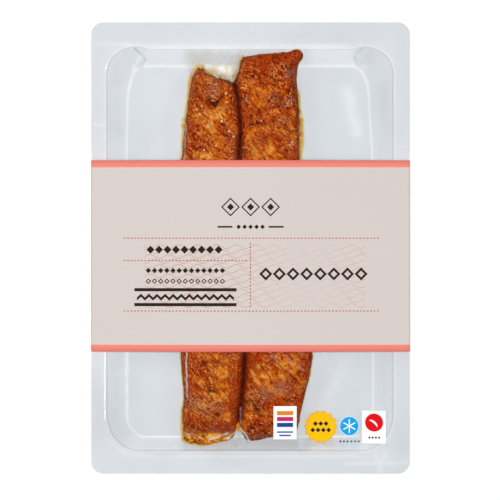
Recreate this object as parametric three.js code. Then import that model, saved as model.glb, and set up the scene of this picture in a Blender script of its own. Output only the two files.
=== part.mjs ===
// A retail pack of two hot smoked salmon fillets, lying flat with its front up, in millimetres.
// A clear thermoformed tray holds the fillets, a clear film is drawn down over them by vacuum and
// sealed to the tray's flange, and a printed card sleeve goes round the middle of the pack.
// +X is the pack's width, +Y its length towards the end shown at the top, +Z is up.
// The origin is at the middle of the pack, on the surface that it lies on.
import * as THREE from 'three';

// Driving dimensions of the tray.
const flange = { left: -74.7, right: 74.7, front: -106, back: 106, corner: 6 };
const rim = { left: -68, right: 67.4, front: -96.5, back: 97, corner: 18 };
const floor = { left: -58.5, right: 57.3, front: -89, back: 85.6, corner: 11 };
const trayDepth = 14;
const plastic = 0.5;
// The vacuum draws the back wall in by this much between the two creases at its corners.
const backPull = { depth: 2, from: 45, to: 52 };

// Driving dimensions of the card sleeve.
const card = 0.5;
const sleeve = { front: -48.8, back: 41.3, halfWidth: 75.5, baseHalfWidth: 61 };
const sleeveArch = { edgeHeight: 16.9, topHeight: 23.1 };

// Clearances between neighbouring pieces, and the film's own thickness.
const gap = 0.3;
const filmGap = 0.4;
const film = 0.3;

const floorTop = card + gap + plastic;
const flangeTop = floorTop + trayDepth;

// Smooth curve through [position, value] pairs, level beyond its two ends.
function curveThrough(pairs) {
  const at = pairs.map((p) => p[0]);
  const value = pairs.map((p) => p[1]);
  const last = pairs.length - 1;
  const slope = (i) => {
    const before = Math.max(i - 1, 0);
    const after = Math.min(i + 1, last);
    return (value[after] - value[before]) / (at[after] - at[before]);
  };
  return (v) => {
    if (v <= at[0]) return value[0];
    if (v >= at[last]) return value[last];
    const i = at.findIndex((a) => a > v) - 1;
    const span = at[i + 1] - at[i];
    const t = (v - at[i]) / span;
    const t2 = t * t;
    const t3 = t2 * t;
    return (2 * t3 - 3 * t2 + 1) * value[i] + (t3 - 2 * t2 + t) * span * slope(i)
      + (3 * t2 - 2 * t3) * value[i + 1] + (t3 - t2) * span * slope(i + 1);
  };
}

const mix = (a, b, t) => a + (b - a) * t;

// Straight-line interpolation through [position, value] pairs, level beyond its ends.
function straightThrough(pairs) {
  return (v) => {
    if (v <= pairs[0][0]) return pairs[0][1];
    const i = pairs.findIndex((p) => p[0] > v) - 1;
    if (i < 0) return pairs[pairs.length - 1][1];
    const [a, b] = [pairs[i], pairs[i + 1]];
    return mix(a[1], b[1], (v - a[0]) / (b[0] - a[0]));
  };
}

// The tray's wall in section: how far up it is at each level, 0 at the floor's edge and 1 at the rim.
const wallSection = [[-0.1, 0], [0, 0.02], [0.13, 0.12], [0.4, 0.4], [0.63, 0.63], [0.87, 0.88],
  [1, 0.98], [1.12, 1]];
const wallShare = straightThrough(wallSection);
const wallThickness = straightThrough([[-0.1, 0.5], [0.13, 0.85], [0.87, 0.85], [1.12, 0.5]]);
const trayHeight = (level) => floorTop + trayDepth * wallShare(level);

// Height of the tray's upper face on the pack's middle line, where only the two end walls rise.
function trayHeightAlong(y) {
  const back = (y - floor.back) / (rim.back - backPull.depth - floor.back);
  const front = (floor.front - y) / (floor.front - rim.front);
  return trayHeight(Math.max(back, front, -0.1));
}

// The two fillets. Across the fillet s runs from 0 at its left edge to 1 at its right edge.
// crest is the height of the fillet's top above the tray's floor, along Y.
const seam = curveThrough([[-92, -5.6], [-82, -5.5], [-69, -4], [-50, -2.8], [0, -4.2], [43, -5.4],
  [56, -4.8], [69, -5.9], [79, -7.4], [84, -5.8], [90, -4.6]]);
const seamHalfGap = 0.35;
const leftFillet = {
  name: 'fillet_left',
  left: curveThrough([[-92, -31.4], [-78, -32], [-71, -31.1], [-60, -31.6], [-49, -32.5], [0, -32.8],
    [41, -32.2], [55, -30.9], [70, -29.2], [78, -27.8], [84, -26.8]]),
  right: (y) => seam(y) - seamHalfGap,
  back: curveThrough([[0, 79.5], [0.06, 82], [0.15, 84.6], [0.26, 82.8], [0.5, 80.9], [0.8, 78.6],
    [1, 78.2]]),
  front: curveThrough([[0, -88.5], [0.1, -90.5], [0.4, -92.4], [0.7, -91.2], [0.9, -89.5], [1, -84]]),
  crest: curveThrough([[-92.4, 9.4], [-89.5, 7.6], [-87, 8.6], [-83, 13.2], [-70, 15.6], [-45, 17.6],
    [0, 18.4], [40, 17.6], [65, 15.4], [77, 12.8], [85, 8.5]]),
  flakeStart: 3,
  flakeMiddle: 0.35,
};
const rightFillet = {
  name: 'fillet_right',
  left: (y) => seam(y) + seamHalfGap,
  right: curveThrough([[-90, 21], [-86, 22], [-81, 22.8], [-74, 24.7], [-68, 26.3], [-60, 27.7],
    [-49, 28.9], [0, 26], [41, 22.8], [60, 22.8], [70, 22.3], [79, 21.6], [86, 22.2], [89.5, 24.4]]),
  back: curveThrough([[0, 88.2], [0.06, 89.9], [0.4, 91.3], [0.75, 92], [0.86, 93.1], [0.95, 92.6],
    [1, 90.4]]),
  front: curveThrough([[0, -84.5], [0.13, -90.3], [0.5, -89.6], [0.8, -88], [1, -84.8]]),
  crest: curveThrough([[-90.5, 9.5], [-86, 14.2], [-75, 16.8], [-45, 18.5], [0, 18.6], [40, 17.4],
    [70, 15.6], [86, 15], [93.5, 15.2]]),
  flakeStart: 7,
  flakeMiddle: 0.6,
};
const fillets = [leftFillet, rightFillet];

// Relief of the flesh: flakes of muscle in chevrons along the fillet, with low lumps over them.
const flake = { pitch: 10.5, lean: 0.85, height: 0.8 };
const shoulderRadius = 3.6;
const crown = 0.7;
function relief(fillet, x, y) {
  const middle = mix(fillet.left(y), fillet.right(y), fillet.flakeMiddle);
  const turns = (y + fillet.flakeStart - flake.lean * Math.abs(x - middle)) / flake.pitch;
  const step = turns - Math.floor(turns);
  const lumps = 0.22 * Math.sin(0.41 * x + 0.13 * y) * Math.cos(0.19 * y - 0.3 * x + 1);
  return flake.height * (Math.pow(step, 1.6) - 0.5) * 0.6 + lumps;
}

// Height of the fillet's top at x, y, given s across it and the distance in from its edge.
function filletTop(fillet, x, y, s, inside, base) {
  const side = 2 * s - 1;
  const peak = floorTop + fillet.crest(y) - crown * side * side;
  const radius = Math.min(shoulderRadius, 0.55 * (peak - base));
  const short = Math.max(radius - inside, 0);
  const drop = radius - Math.sqrt(Math.max(radius * radius - short * short, 0));
  return peak - drop + relief(fillet, x, y) * Math.min(inside / shoulderRadius, 1);
}

// Makes one closed solid of an upper sheet and a lower sheet with the same layout.
// loop lists the layout's outer edge, anticlockwise seen from above.
function closedSolid(upper, lower, triangles, lowerTriangles, loop, lowerLoop) {
  const count = upper.length;
  const index = [...triangles];
  for (let i = 0; i < lowerTriangles.length; i += 3) {
    index.push(count + lowerTriangles[i], count + lowerTriangles[i + 2], count + lowerTriangles[i + 1]);
  }
  loop.forEach((a, k) => {
    const b = loop[(k + 1) % loop.length];
    const lowA = count + lowerLoop[k];
    const lowB = count + lowerLoop[(k + 1) % loop.length];
    index.push(a, lowA, lowB, a, lowB, b);
  });
  const geometry = new THREE.BufferGeometry();
  geometry.setAttribute('position', new THREE.Float32BufferAttribute([...upper, ...lower].flat(), 3));
  geometry.setIndex(index);
  geometry.computeVertexNormals();
  return geometry;
}

// Triangles and outer loop of a rectangular grid, numbered row by row from the lower left.
function gridLayout(columns, rows) {
  const at = (i, j) => j * (columns + 1) + i;
  const triangles = [];
  for (let j = 0; j < rows; j += 1) {
    for (let i = 0; i < columns; i += 1) {
      triangles.push(at(i, j), at(i + 1, j), at(i + 1, j + 1), at(i, j), at(i + 1, j + 1), at(i, j + 1));
    }
  }
  const loop = [];
  for (let i = 0; i < columns; i += 1) loop.push(at(i, 0));
  for (let j = 0; j < rows; j += 1) loop.push(at(columns, j));
  for (let i = columns; i > 0; i -= 1) loop.push(at(i, rows));
  for (let j = rows; j > 0; j -= 1) loop.push(at(0, j));
  return { triangles, loop };
}

// Where the rows and columns of a fillet's grid lie: close together at its rounded shoulders.
const filletColumns = [0, 0.02, 0.07, 0.15, 0.32, 0.5, 0.68, 0.85, 0.93, 0.98, 1];
const filletEndRows = [0, 0.004, 0.012, 0.022, 0.036];
const filletMiddleRows = 36;
const filletRows = [
  ...filletEndRows,
  ...Array.from({ length: filletMiddleRows - 1 }, (_, k) => mix(
    filletEndRows[filletEndRows.length - 1],
    1 - filletEndRows[filletEndRows.length - 1],
    (k + 1) / filletMiddleRows,
  )),
  ...filletEndRows.map((r) => 1 - r).reverse(),
];
// The sides lean in towards the base by this much.
const baseInset = 1.1;

function filletGeometry(fillet) {
  const upper = [];
  const lower = [];
  filletRows.forEach((t) => filletColumns.forEach((s) => {
    const y = mix(fillet.front(s), fillet.back(s), t);
    const width = fillet.right(y) - fillet.left(y);
    const length = fillet.back(s) - fillet.front(s);
    const x = mix(fillet.left(y), fillet.right(y), s);
    const inside = Math.min(Math.min(s, 1 - s) * width, Math.min(t, 1 - t) * length);
    const inset = baseInset * Math.sign(0.5 - s) * Math.max(1 - Math.min(s, 1 - s) * 8, 0);
    const yInset = baseInset * Math.sign(0.5 - t) * Math.max(1 - Math.min(t, 1 - t) * 40, 0);
    const baseY = y + yInset;
    const base = trayHeightAlong(baseY) + gap;
    upper.push([x, y, filletTop(fillet, x, y, s, inside, trayHeightAlong(y) + gap)]);
    lower.push([x + inset, baseY, base]);
  }));
  const { triangles, loop } = gridLayout(filletColumns.length - 1, filletRows.length - 1);
  return closedSolid(upper, lower, triangles, triangles, loop, loop);
}

// Height that the film is held up to by the fillets. It stays a little above them and falls
// steeply outside them, so that it bridges the corner between a fillet's side and the floor.
// Beyond a fillet's ends it falls more gently, by the share given as ends.
const drape = { lift: 1, reach: 2.3, softness: 1.05, ends: 0.5 };
function drapeHeight(x, y) {
  return Math.max(...fillets.map((fillet) => {
    const left = fillet.left(y);
    const width = fillet.right(y) - left;
    const s = (x - left) / width;
    const across = Math.min(Math.max(s, 0), 1);
    const sides = Math.min(s, 1 - s) * width;
    const ends = Math.min(y - fillet.front(across), fillet.back(across) - y);
    const inside = Math.min(sides, drape.ends * ends);
    const held = 1 / (1 + Math.exp(-(inside + drape.reach) / drape.softness));
    const nearestY = Math.min(Math.max(y, fillet.front(across)), fillet.back(across));
    const top = fillet.crest(nearestY) + drape.lift;
    return floorTop + filmGap + top * held;
  }));
}

// A rounded rectangle that grows from the tray's floor to its rim as level goes from 0 to 1.
const edges = ['left', 'right', 'front', 'back', 'corner'];
const outlineAt = (level) => Object.fromEntries(edges.map((e) => [e, mix(floor[e], rim[e], level)]));

// Bends the corner of a rectangular grid onto concentric arcs.
function roundCorner(x, y, box) {
  const cornerX = x < 0 ? box.left + box.corner : box.right - box.corner;
  const cornerY = y < 0 ? box.front + box.corner : box.back - box.corner;
  const dx = x < 0 ? cornerX - x : x - cornerX;
  const dy = y < 0 ? cornerY - y : y - cornerY;
  if (dx <= 0 || dy <= 0) return [x, y];
  const shrink = Math.max(dx, dy) / Math.hypot(dx, dy);
  return [cornerX + (x - cornerX) * shrink, cornerY + (y - cornerY) * shrink];
}

// The tray and the film share one layout seen from above: a grid over the floor, and rings outside
// it up the wall and across the flange. Columns are counted in quarters that end at the left
// fillet's outer edge, the seam and the right fillet's outer edge, and follow those edges.
const columnQuarters = [0, 0.12, 0.45, 0.75, 0.88, 0.96, 1.05, 1.15, 1.38, 1.64, 1.86, 1.95, 2, 2.05,
  2.14, 2.36, 2.62, 2.85, 2.95, 3.04, 3.12, 3.25, 3.55, 3.88, 4];
const rowPositions = [-89, -86.5, -83.5, -80, -74, -66, -56, -44, -32, -20, -8, 4, 16, 28, 40, 50, 60,
  67, 73, 77, 80, 83, 85.6];
const innerLevel = -0.1;

// Where a point of the layout lies when the layout is stretched over a rounded box.
function pointIn(box, [quarter, row]) {
  const y = mix(box.front, box.back, (row - floor.front) / (floor.back - floor.front));
  const knots = [box.left, leftFillet.left(y), seam(y), rightFillet.right(y), box.right];
  const k = Math.min(Math.floor(quarter), knots.length - 2);
  return roundCorner(mix(knots[k], knots[k + 1], quarter - k), y, box);
}

function ringPoint(place, level) {
  const [x, y] = pointIn(outlineAt(level), place);
  const side = Math.min(Math.max((Math.abs(x) - backPull.from) / (backPull.to - backPull.from), 0), 1);
  const pull = place[1] >= floor.back && level > 0 ? backPull.depth * Math.min(level, 1) * (1 - side) : 0;
  return [x, y - pull];
}

const places = rowPositions.flatMap((row) => columnQuarters.map((quarter) => [quarter, row]));
const grid = gridLayout(columnQuarters.length - 1, rowPositions.length - 1);
const edgePlaces = grid.loop.map((i) => places[i]);

// Bands of triangles between rings that follow one another outwards.
function bands(firstRing, ringCount, size, firstIndex) {
  const ringIndex = (ring, k) => (ring === 0 ? firstRing[k % size] : firstIndex + (ring - 1) * size + k % size);
  const triangles = [];
  for (let ring = 0; ring < ringCount; ring += 1) {
    for (let k = 0; k < size; k += 1) {
      const a = ringIndex(ring, k);
      const b = ringIndex(ring, k + 1);
      const c = ringIndex(ring + 1, k + 1);
      const d = ringIndex(ring + 1, k);
      triangles.push(a, d, c, a, c, b);
    }
  }
  const loop = Array.from({ length: size }, (_, k) => ringIndex(ringCount, k));
  return { triangles, loop };
}

function trayGeometry() {
  const levels = wallSection.map((w) => w[0]);
  const upper = [];
  const lower = [];
  levels.forEach((level) => edgePlaces.forEach((place) => {
    const [x, y] = ringPoint(place, level);
    upper.push([x, y, trayHeight(level)]);
    lower.push([x, y, trayHeight(level) - wallThickness(level)]);
  }));
  edgePlaces.forEach((place) => {
    const [x, y] = pointIn(flange, place);
    upper.push([x, y, flangeTop]);
    lower.push([x, y, flangeTop - plastic]);
  });
  const size = edgePlaces.length;
  const firstRing = edgePlaces.map((_, k) => k);
  const walls = bands(firstRing, levels.length, size, size);
  const floorShape = firstRing.map((k) => new THREE.Vector2(upper[k][0], upper[k][1]));
  const triangles = [...THREE.ShapeUtils.triangulateShape(floorShape, []).flat(), ...walls.triangles];
  return closedSolid(upper, lower, triangles, triangles, walls.loop, walls.loop);
}

// The film lies on the tray and over the fillets.
function filmGeometry() {
  const filmLevels = wallSection.map((w) => w[0]).slice(1);
  const under = [];
  const add = ([x, y], trayTop) => under.push([x, y, Math.max(trayTop + filmGap, drapeHeight(x, y))]);
  places.forEach((place) => add(ringPoint(place, innerLevel), floorTop));
  filmLevels.forEach((level) => {
    edgePlaces.forEach((place) => add(ringPoint(place, level), trayHeight(level)));
  });
  edgePlaces.forEach((place) => under.push([...pointIn(flange, place), flangeTop + filmGap]));
  const outer = bands(grid.loop, filmLevels.length + 1, edgePlaces.length, places.length);
  const triangles = [...grid.triangles, ...outer.triangles];
  const over = under.map(([x, y, z]) => [x, y, z + film]);
  return closedSolid(over, under, triangles, triangles, outer.loop, outer.loop);
}

// The sleeve in section: an arch over the fillets, a fold at each side and a flat base.
function sleeveGeometry() {
  const section = (inset) => {
    const half = sleeve.halfWidth - inset;
    const edge = sleeveArch.edgeHeight - inset;
    const top = sleeveArch.topHeight - inset;
    const base = inset;
    const rise = curveThrough([[-half, edge], [-52, mix(edge, top, 0.4)], [-30, mix(edge, top, 0.84)],
      [-15, mix(edge, top, 0.97)], [-3, top], [9, mix(edge, top, 0.97)], [25, mix(edge, top, 0.84)],
      [50, mix(edge, top, 0.4)], [half, edge]]);
    const steps = 26;
    const points = Array.from({ length: steps + 1 }, (_, k) => {
      const x = mix(half, -half, k / steps);
      return new THREE.Vector2(x, rise(x));
    });
    const foldHeight = 14.1;
    const baseHalf = sleeve.baseHalfWidth - inset * 0.5;
    points.push(new THREE.Vector2(-half, foldHeight), new THREE.Vector2(-baseHalf - 1.2, base + 0.9));
    points.push(new THREE.Vector2(-baseHalf + 1, base), new THREE.Vector2(baseHalf - 1, base));
    points.push(new THREE.Vector2(baseHalf + 1.2, base + 0.9), new THREE.Vector2(half, foldHeight));
    return points;
  };
  const shape = new THREE.Shape(section(0));
  shape.holes.push(new THREE.Path(section(card).reverse()));
  return new THREE.ExtrudeGeometry(shape, { depth: sleeve.back - sleeve.front, bevelEnabled: false });
}

function pieceOf(name, geometry, look) {
  const mesh = new THREE.Mesh(geometry, new THREE.MeshStandardMaterial(look));
  mesh.name = name;
  return mesh;
}

const clearPlastic = { color: 0xdadee2, roughness: 0.15, metalness: 0, transparent: true, opacity: 0.3 };
const smokedFlesh = { color: 0xb05a20, roughness: 0.4, metalness: 0 };
const printedCard = { color: 0xdbd2cd, roughness: 0.75, metalness: 0, side: THREE.DoubleSide };

const pack = new THREE.Group();
pack.add(pieceOf('tray', trayGeometry(), clearPlastic));
fillets.forEach((fillet) => pack.add(pieceOf(fillet.name, filletGeometry(fillet), smokedFlesh)));
pack.add(pieceOf('film', filmGeometry(), clearPlastic));
const sleeveMesh = pieceOf('sleeve', sleeveGeometry(), printedCard);
sleeveMesh.rotation.x = Math.PI / 2;
sleeveMesh.position.y = sleeve.back;
pack.add(sleeveMesh);

export default pack;
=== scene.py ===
import math
import bpy
import numpy as np
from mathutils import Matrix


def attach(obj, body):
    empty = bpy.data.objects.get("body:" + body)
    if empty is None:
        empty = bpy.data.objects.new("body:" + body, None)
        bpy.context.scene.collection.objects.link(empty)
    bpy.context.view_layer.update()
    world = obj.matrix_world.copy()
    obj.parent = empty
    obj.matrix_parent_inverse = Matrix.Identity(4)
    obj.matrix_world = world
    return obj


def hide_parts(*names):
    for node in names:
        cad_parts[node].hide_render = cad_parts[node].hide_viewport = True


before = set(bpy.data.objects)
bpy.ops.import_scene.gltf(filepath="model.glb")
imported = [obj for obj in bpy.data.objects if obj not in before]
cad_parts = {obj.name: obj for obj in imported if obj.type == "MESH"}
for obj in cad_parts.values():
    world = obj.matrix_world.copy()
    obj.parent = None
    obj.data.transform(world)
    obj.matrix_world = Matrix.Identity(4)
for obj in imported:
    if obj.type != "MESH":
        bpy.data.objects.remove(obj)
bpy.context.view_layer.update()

# A retail pack of two hot smoked salmon fillets with a spice crust, lying flat and seen from above.
# Shapes are worked out in millimetres and go into the meshes in metres.
mm = 0.001

# shader and light tools


def linear(hexColour):
    # sRGB hex to linear: below 0.04045 divided by 12.92, above it ((c + 0.055) / 1.055) to the power 2.4
    parts = [int(hexColour[i:i + 2], 16) / 255 for i in (1, 3, 5)]
    return [c / 12.92 if c <= 0.04045 else ((c + 0.055) / 1.055) ** 2.4 for c in parts] + [1.0]


def node(tree, kind, inputs=None, ramp=None, **settings):
    # adds one node: an input is a value, a socket or a node whose first output is meant,
    # and ramp is a list of (place, hex)
    made = tree.nodes.new("ShaderNode" + kind)
    for name, value in settings.items():
        setattr(made, name, value)
    for key, value in (inputs or {}).items():
        if isinstance(value, bpy.types.Node):
            value = value.outputs[0]
        if isinstance(value, bpy.types.NodeSocket):
            tree.links.new(value, made.inputs[key])
        else:
            made.inputs[key].default_value = value
    if ramp:
        stops = made.color_ramp.elements
        while len(stops) < len(ramp):
            stops.new(0.5)
        for stop, (place, colour) in zip(stops, ramp):
            stop.position = place
            stop.color = linear(colour)
    return made


def newMaterial(name):
    # an empty material and its node tree
    made = bpy.data.materials.new(name)
    made.use_nodes = True
    made.node_tree.nodes.clear()
    return made, made.node_tree


# camera, light and floor

view = {
    "distance": 2200.0,  # from the flange up to the camera
    "frameWidth": 235.25,  # what the picture spans at the flange
    "centre": (-0.28, -0.96),
    "flangeHeight": 15.3,
}
# The key lamp is small and hangs just above the camera, so its shadows are sharp and lie hidden behind what
# casts them. It is polarised, so gloss doesn't mirror it. The others round off the sides.
# Each lamp: watts, place in metres, width, length, whether gloss mirrors it
lamps = {
    "keyTop": (54.5, (0.0, 0.0, 2.45), 0.16, 0.16, False),
    "boxLeft": (2.4, (-0.9, 0.5, 1.4), 0.3, 0.4, False),
    "boxRight": (2.2, (1.0, -0.1, 1.5), 0.2, 0.3, True),
    "stripLeft": (1.4, (-1.15, 0.05, 0.5), 0.06, 1.0, False),
}
worldStrength = 0.08
floorColour = "#F7F7F7"

camera = bpy.data.objects.new("camera", bpy.data.cameras.new("camera"))
bpy.context.scene.collection.objects.link(camera)
camera.data.sensor_width = 36
camera.data.lens = 36 * view["distance"] / view["frameWidth"]
camera.data.clip_end = 20
cameraHeight = view["distance"] + view["flangeHeight"]
camera.location = (view["centre"][0] * mm, view["centre"][1] * mm, cameraHeight * mm)
bpy.context.scene.camera = camera

for name, (power, place, width, length, mirrored) in lamps.items():
    light = bpy.data.lights.new(name, "AREA")
    light.shape = "RECTANGLE"
    light.energy, light.size, light.size_y = power, width, length
    lamp = bpy.data.objects.new(name, light)
    bpy.context.scene.collection.objects.link(lamp)
    lamp.location = place
    lamp.visible_glossy = mirrored
    # turned so that it faces the middle of the pack
    x, y, z = place
    lamp.rotation_euler = (math.atan2(math.hypot(x, y), z), 0, math.atan2(y, x) + math.pi / 2)

world = bpy.data.worlds.new("studio")
bpy.context.scene.world = world
world.use_nodes = True
world.node_tree.nodes["Background"].inputs["Color"].default_value = (1, 1, 1, 1)
world.node_tree.nodes["Background"].inputs["Strength"].default_value = worldStrength
bpy.context.scene.view_settings.view_transform = "Standard"
bpy.context.scene.cycles.transparent_max_bounces = 24

# The floor is a matt white paper sweep, without gloss, so that the pack alone catches the lights.
floorMesh = bpy.data.meshes.new("floor")
floorMesh.from_pydata([(-3, -3, 0), (3, -3, 0), (3, 3, 0), (-3, 3, 0)], [], [(0, 1, 2, 3)])
floor = bpy.data.objects.new("floor", floorMesh)
bpy.context.scene.collection.objects.link(floor)
paper, tree = newMaterial("matt_white_paper")
shade = node(tree, "BsdfDiffuse", {"Color": linear(floorColour)})
node(tree, "OutputMaterial", {"Surface": shade})
floorMesh.materials.append(paper)
print("stage: camera, lights and floor")

# shape tools


def curveThrough(pairs):
    # smooth curve through (place, value) pairs, level beyond its ends: cubic pieces whose slope at each
    # pair is the rise between its two neighbours over the distance between them
    at, value = np.array(pairs, float).T
    k = np.arange(len(at))
    before, after = np.maximum(k - 1, 0), np.minimum(k + 1, len(at) - 1)
    slope = (value[after] - value[before]) / (at[after] - at[before])

    def curve(v):
        v = np.clip(np.asarray(v, float), at[0], at[-1])
        i = np.clip(np.searchsorted(at, v, side="right") - 1, 0, len(at) - 2)
        span = at[i + 1] - at[i]
        t = (v - at[i]) / span
        return ((2 * t**3 - 3 * t**2 + 1) * value[i] + (t**3 - 2 * t**2 + t) * span * slope[i]
                + (3 * t**2 - 2 * t**3) * value[i + 1] + (t**3 - t**2) * span * slope[i + 1])
    return curve


def smooth(v, start, end):
    # 0 before start, 1 after end, and 3t2 - 2t3 between
    t = np.clip((v - start) / (end - start), 0, 1)
    return t * t * (3 - 2 * t)


def window(v, low, high):
    # 1 inside and 0 outside: low and high are each (where it is 0, where it is 1)
    return smooth(v, *low) * smooth(v, *high)


def cloud(x, y, size, seed, octaves=1):
    # random heights from -1 to 1 at the corners of squares of this size, blended by 3t2 - 2t3;
    # each further octave has half the size and half the height
    total, weight, whole = 0.0, 1.0, 0.0
    for octave in range(octaves):
        table = np.random.default_rng(seed + octave).random((256, 256)) * 2 - 1
        u, v = x / size + 500.0, y / size + 500.0
        i, j = np.floor(u).astype(int), np.floor(v).astype(int)
        fu, fv = u - i, v - j
        fu, fv = fu * fu * (3 - 2 * fu), fv * fv * (3 - 2 * fv)
        i0, j0, i1, j1 = i % 256, j % 256, (i + 1) % 256, (j + 1) % 256
        low = table[i0, j0] * (1 - fu) + table[i1, j0] * fu
        high = table[i0, j1] * (1 - fu) + table[i1, j1] * fu
        total = total + weight * (low * (1 - fv) + high * fv)
        whole += weight
        weight, size = weight * 0.5, size * 0.5
    return total / whole


def spots(x, y, table, ragged=1.3):
    # sum of rounded spots: exp(-(dx / rx)^2 - (dy / ry)^2), their outlines made ragged by a low cloud
    wx = x + ragged * cloud(x, y, 3.1, 71, 2)
    wy = y + ragged * cloud(x, y, 3.1, 81, 2)
    total = np.zeros(np.broadcast(x, y).shape)
    for cx, cy, rx, ry in table:
        total = total + np.exp(-((wx - cx) / rx) ** 2 - ((wy - cy) / ry) ** 2)
    return total


def nearestOn(x, y, x0, y0, x1, y1):
    # how far along a straight stroke its point nearest to a place is, as a share, and the distance to it
    dx, dy = x1 - x0, y1 - y0
    t = np.clip(((x - x0) * dx + (y - y0) * dy) / (dx * dx + dy * dy), 0, 1)
    return t, np.hypot(x - x0 - t * dx, y - y0 - t * dy)


def lines(x, y, table, ragged=0.7):
    # the strongest of straight strokes (x0, y0, x1, y1, strength, width), each of which gives
    # strength * exp(-(distance / width)^2)
    wx = x + ragged * cloud(x, y, 2.6, 91, 2)
    wy = y + ragged * cloud(x, y, 2.6, 95, 2)
    total = np.zeros(np.broadcast(x, y).shape)
    for *stroke, strength, width in table:
        away = nearestOn(wx, wy, *stroke)[1]
        total = np.maximum(total, strength * np.exp(-(away / width) ** 2))
    return total


def newPiece(name, points, quads, materials, stands=None, polygons=(), kinds=None, values=None):
    # puts whole arrays into a mesh: points in mm, quads as rows of four indices, and a few larger polygons
    points = np.asarray(points, float).reshape(-1, 3) * mm
    quads = np.asarray(quads, int).reshape(-1, 4)
    sizes = np.concatenate([np.full(len(quads), 4), np.array([len(p) for p in polygons], int)]).astype(int)
    corners = np.concatenate([quads.ravel()] + [np.asarray(p, int) for p in polygons]).astype(int)
    mesh = bpy.data.meshes.new(name)
    mesh.vertices.add(len(points))
    mesh.vertices.foreach_set("co", points.ravel())
    mesh.loops.add(len(corners))
    mesh.loops.foreach_set("vertex_index", corners)
    mesh.polygons.add(len(sizes))
    mesh.polygons.foreach_set("loop_start", np.concatenate([[0], np.cumsum(sizes)[:-1]]))
    mesh.polygons.foreach_set("loop_total", sizes)
    if kinds is not None:
        mesh.polygons.foreach_set("material_index", np.asarray(kinds, int))
    mesh.update(calc_edges=True)
    mesh.validate()
    mesh.shade_smooth()
    for key, numbers in (values or {}).items():
        layer = mesh.attributes.new(key, "FLOAT", "POINT")
        layer.data.foreach_set("value", np.asarray(numbers, np.float32).ravel())
    for material in materials:
        mesh.materials.append(material)
    piece = bpy.data.objects.new(name, mesh)
    bpy.context.scene.collection.objects.link(piece)
    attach(piece, "root")
    if stands:
        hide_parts(stands)
    print("  piece", name, "triangles", int(np.sum(sizes - 2)))
    return piece


def gridQuads(rows, columns, first=0):
    # quads of a grid numbered row by row, anticlockwise seen from above when x grows along a row
    j, i = np.meshgrid(np.arange(rows - 1), np.arange(columns - 1), indexing="ij")
    a = (first + j * columns + i).ravel()
    return np.stack([a, a + 1, a + columns + 1, a + columns], 1)


def gridLoop(rows, columns):
    # outer edge of such a grid, anticlockwise from its lower left
    at = np.arange(rows * columns).reshape(rows, columns)
    return np.concatenate([at[0, :-1], at[:-1, -1], at[-1, :0:-1], at[:0:-1, 0]])


def bandQuads(inner, outer):
    # quads between two closed rings of equal length, the second outside the first
    return np.stack([inner, outer, np.roll(outer, -1), np.roll(inner, -1)], 1)


def shellQuads(rings):
    # quads between each closed ring and the next one outside it
    return np.concatenate([bandQuads(inner, outer) for inner, outer in zip(rings, rings[1:])])


def outwards(ring):
    # the direction straight out at each place of an anticlockwise ring, square to its two neighbours' line
    along = np.roll(ring, -1, 0) - np.roll(ring, 1, 0)
    return np.stack([along[:, 1], -along[:, 0]], 1) / np.linalg.norm(along, axis=1)[:, None]


def softened(ring, rounds):
    # a closed ring with its corners rounded: in each round a place is averaged with its two neighbours
    for _ in range(rounds):
        ring = (np.roll(ring, 1, 0) + 2 * ring + np.roll(ring, -1, 0)) / 4
    return ring


def stretch(*spans):
    # places along a line: each span is (from, to, count), the ends shared
    return np.unique(np.concatenate([np.linspace(a, b, n + 1) for a, b, n in spans]))


# the tray's form

tray = {
    # left, right, front, back, then the corners' radii along x and y, at the front and at the back,
    # and how far the left and the right side lean in towards the back
    "floor": (-58.5, 57.5, -89.0, 85.6, 9.5, 11.5, 7.0, 16.0, 0.7, 1.9),
    "rim": (-68.0, 67.4, -95.6, 94.9, 15.0, 18.0, 13.5, 13.0, 0, 0),
    "flange": (-75.05, 75.05, -106.3, 106.2, 6.0, 6.0, 6.0, 6.0, 0, 0),
    "leanFrom": 35.0, "leanTo": 72.0,
    "depth": 14.0,
    "floorTop": 1.3,
    "plastic": (0.5, 0.8),  # thickness in the floor and the flange, and in the wall
    "backPull": (1.2, 48.0, 52.5),  # how far the back wall is drawn in, and between which creases
    "section": [(-0.1, 0), (0, 0.02), (0.13, 0.12), (0.87, 0.88), (1, 0.98), (1.12, 1)],
    "bend": 0.05,  # how far each bend of the wall's section is rounded, in levels
}
floorBox, rimBox, flangeBox = (np.array(tray[k]) for k in ("floor", "rim", "flange"))
flangeTop = tray["floorTop"] + tray["depth"]


def wallShare(level):
    # the straight-line section averaged over a short stretch, which rounds its bends
    at, share = np.array(tray["section"]).T
    spread = np.linspace(-tray["bend"], tray["bend"], 9)
    return np.mean([np.interp(level + d, at, share) for d in spread], axis=0)


def trayHeight(level):
    # height of the tray's upper face at a level, which is 0 at the foot of the wall and 1 at the rim
    return tray["floorTop"] + tray["depth"] * wallShare(np.asarray(level, float))


def backPull(x, level):
    # how far the back wall is drawn in: fully inside the creases, not at all outside, and most at the rim
    depth, inner, outer = tray["backPull"]
    return depth * np.clip(level, 0, 1) * (1 - smooth(np.abs(x), inner, outer))


def boxSides(box, y):
    # left and right side at y, with their lean
    lean = smooth(y, tray["leanFrom"], tray["leanTo"])
    return box[0] + box[8] * lean, box[1] - box[9] * lean


def cornerRadii(box, y):
    # radii along x and along y of the corners in that half of the box
    return np.where(y < 0, box[4], box[6]), np.where(y < 0, box[5], box[7])


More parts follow.
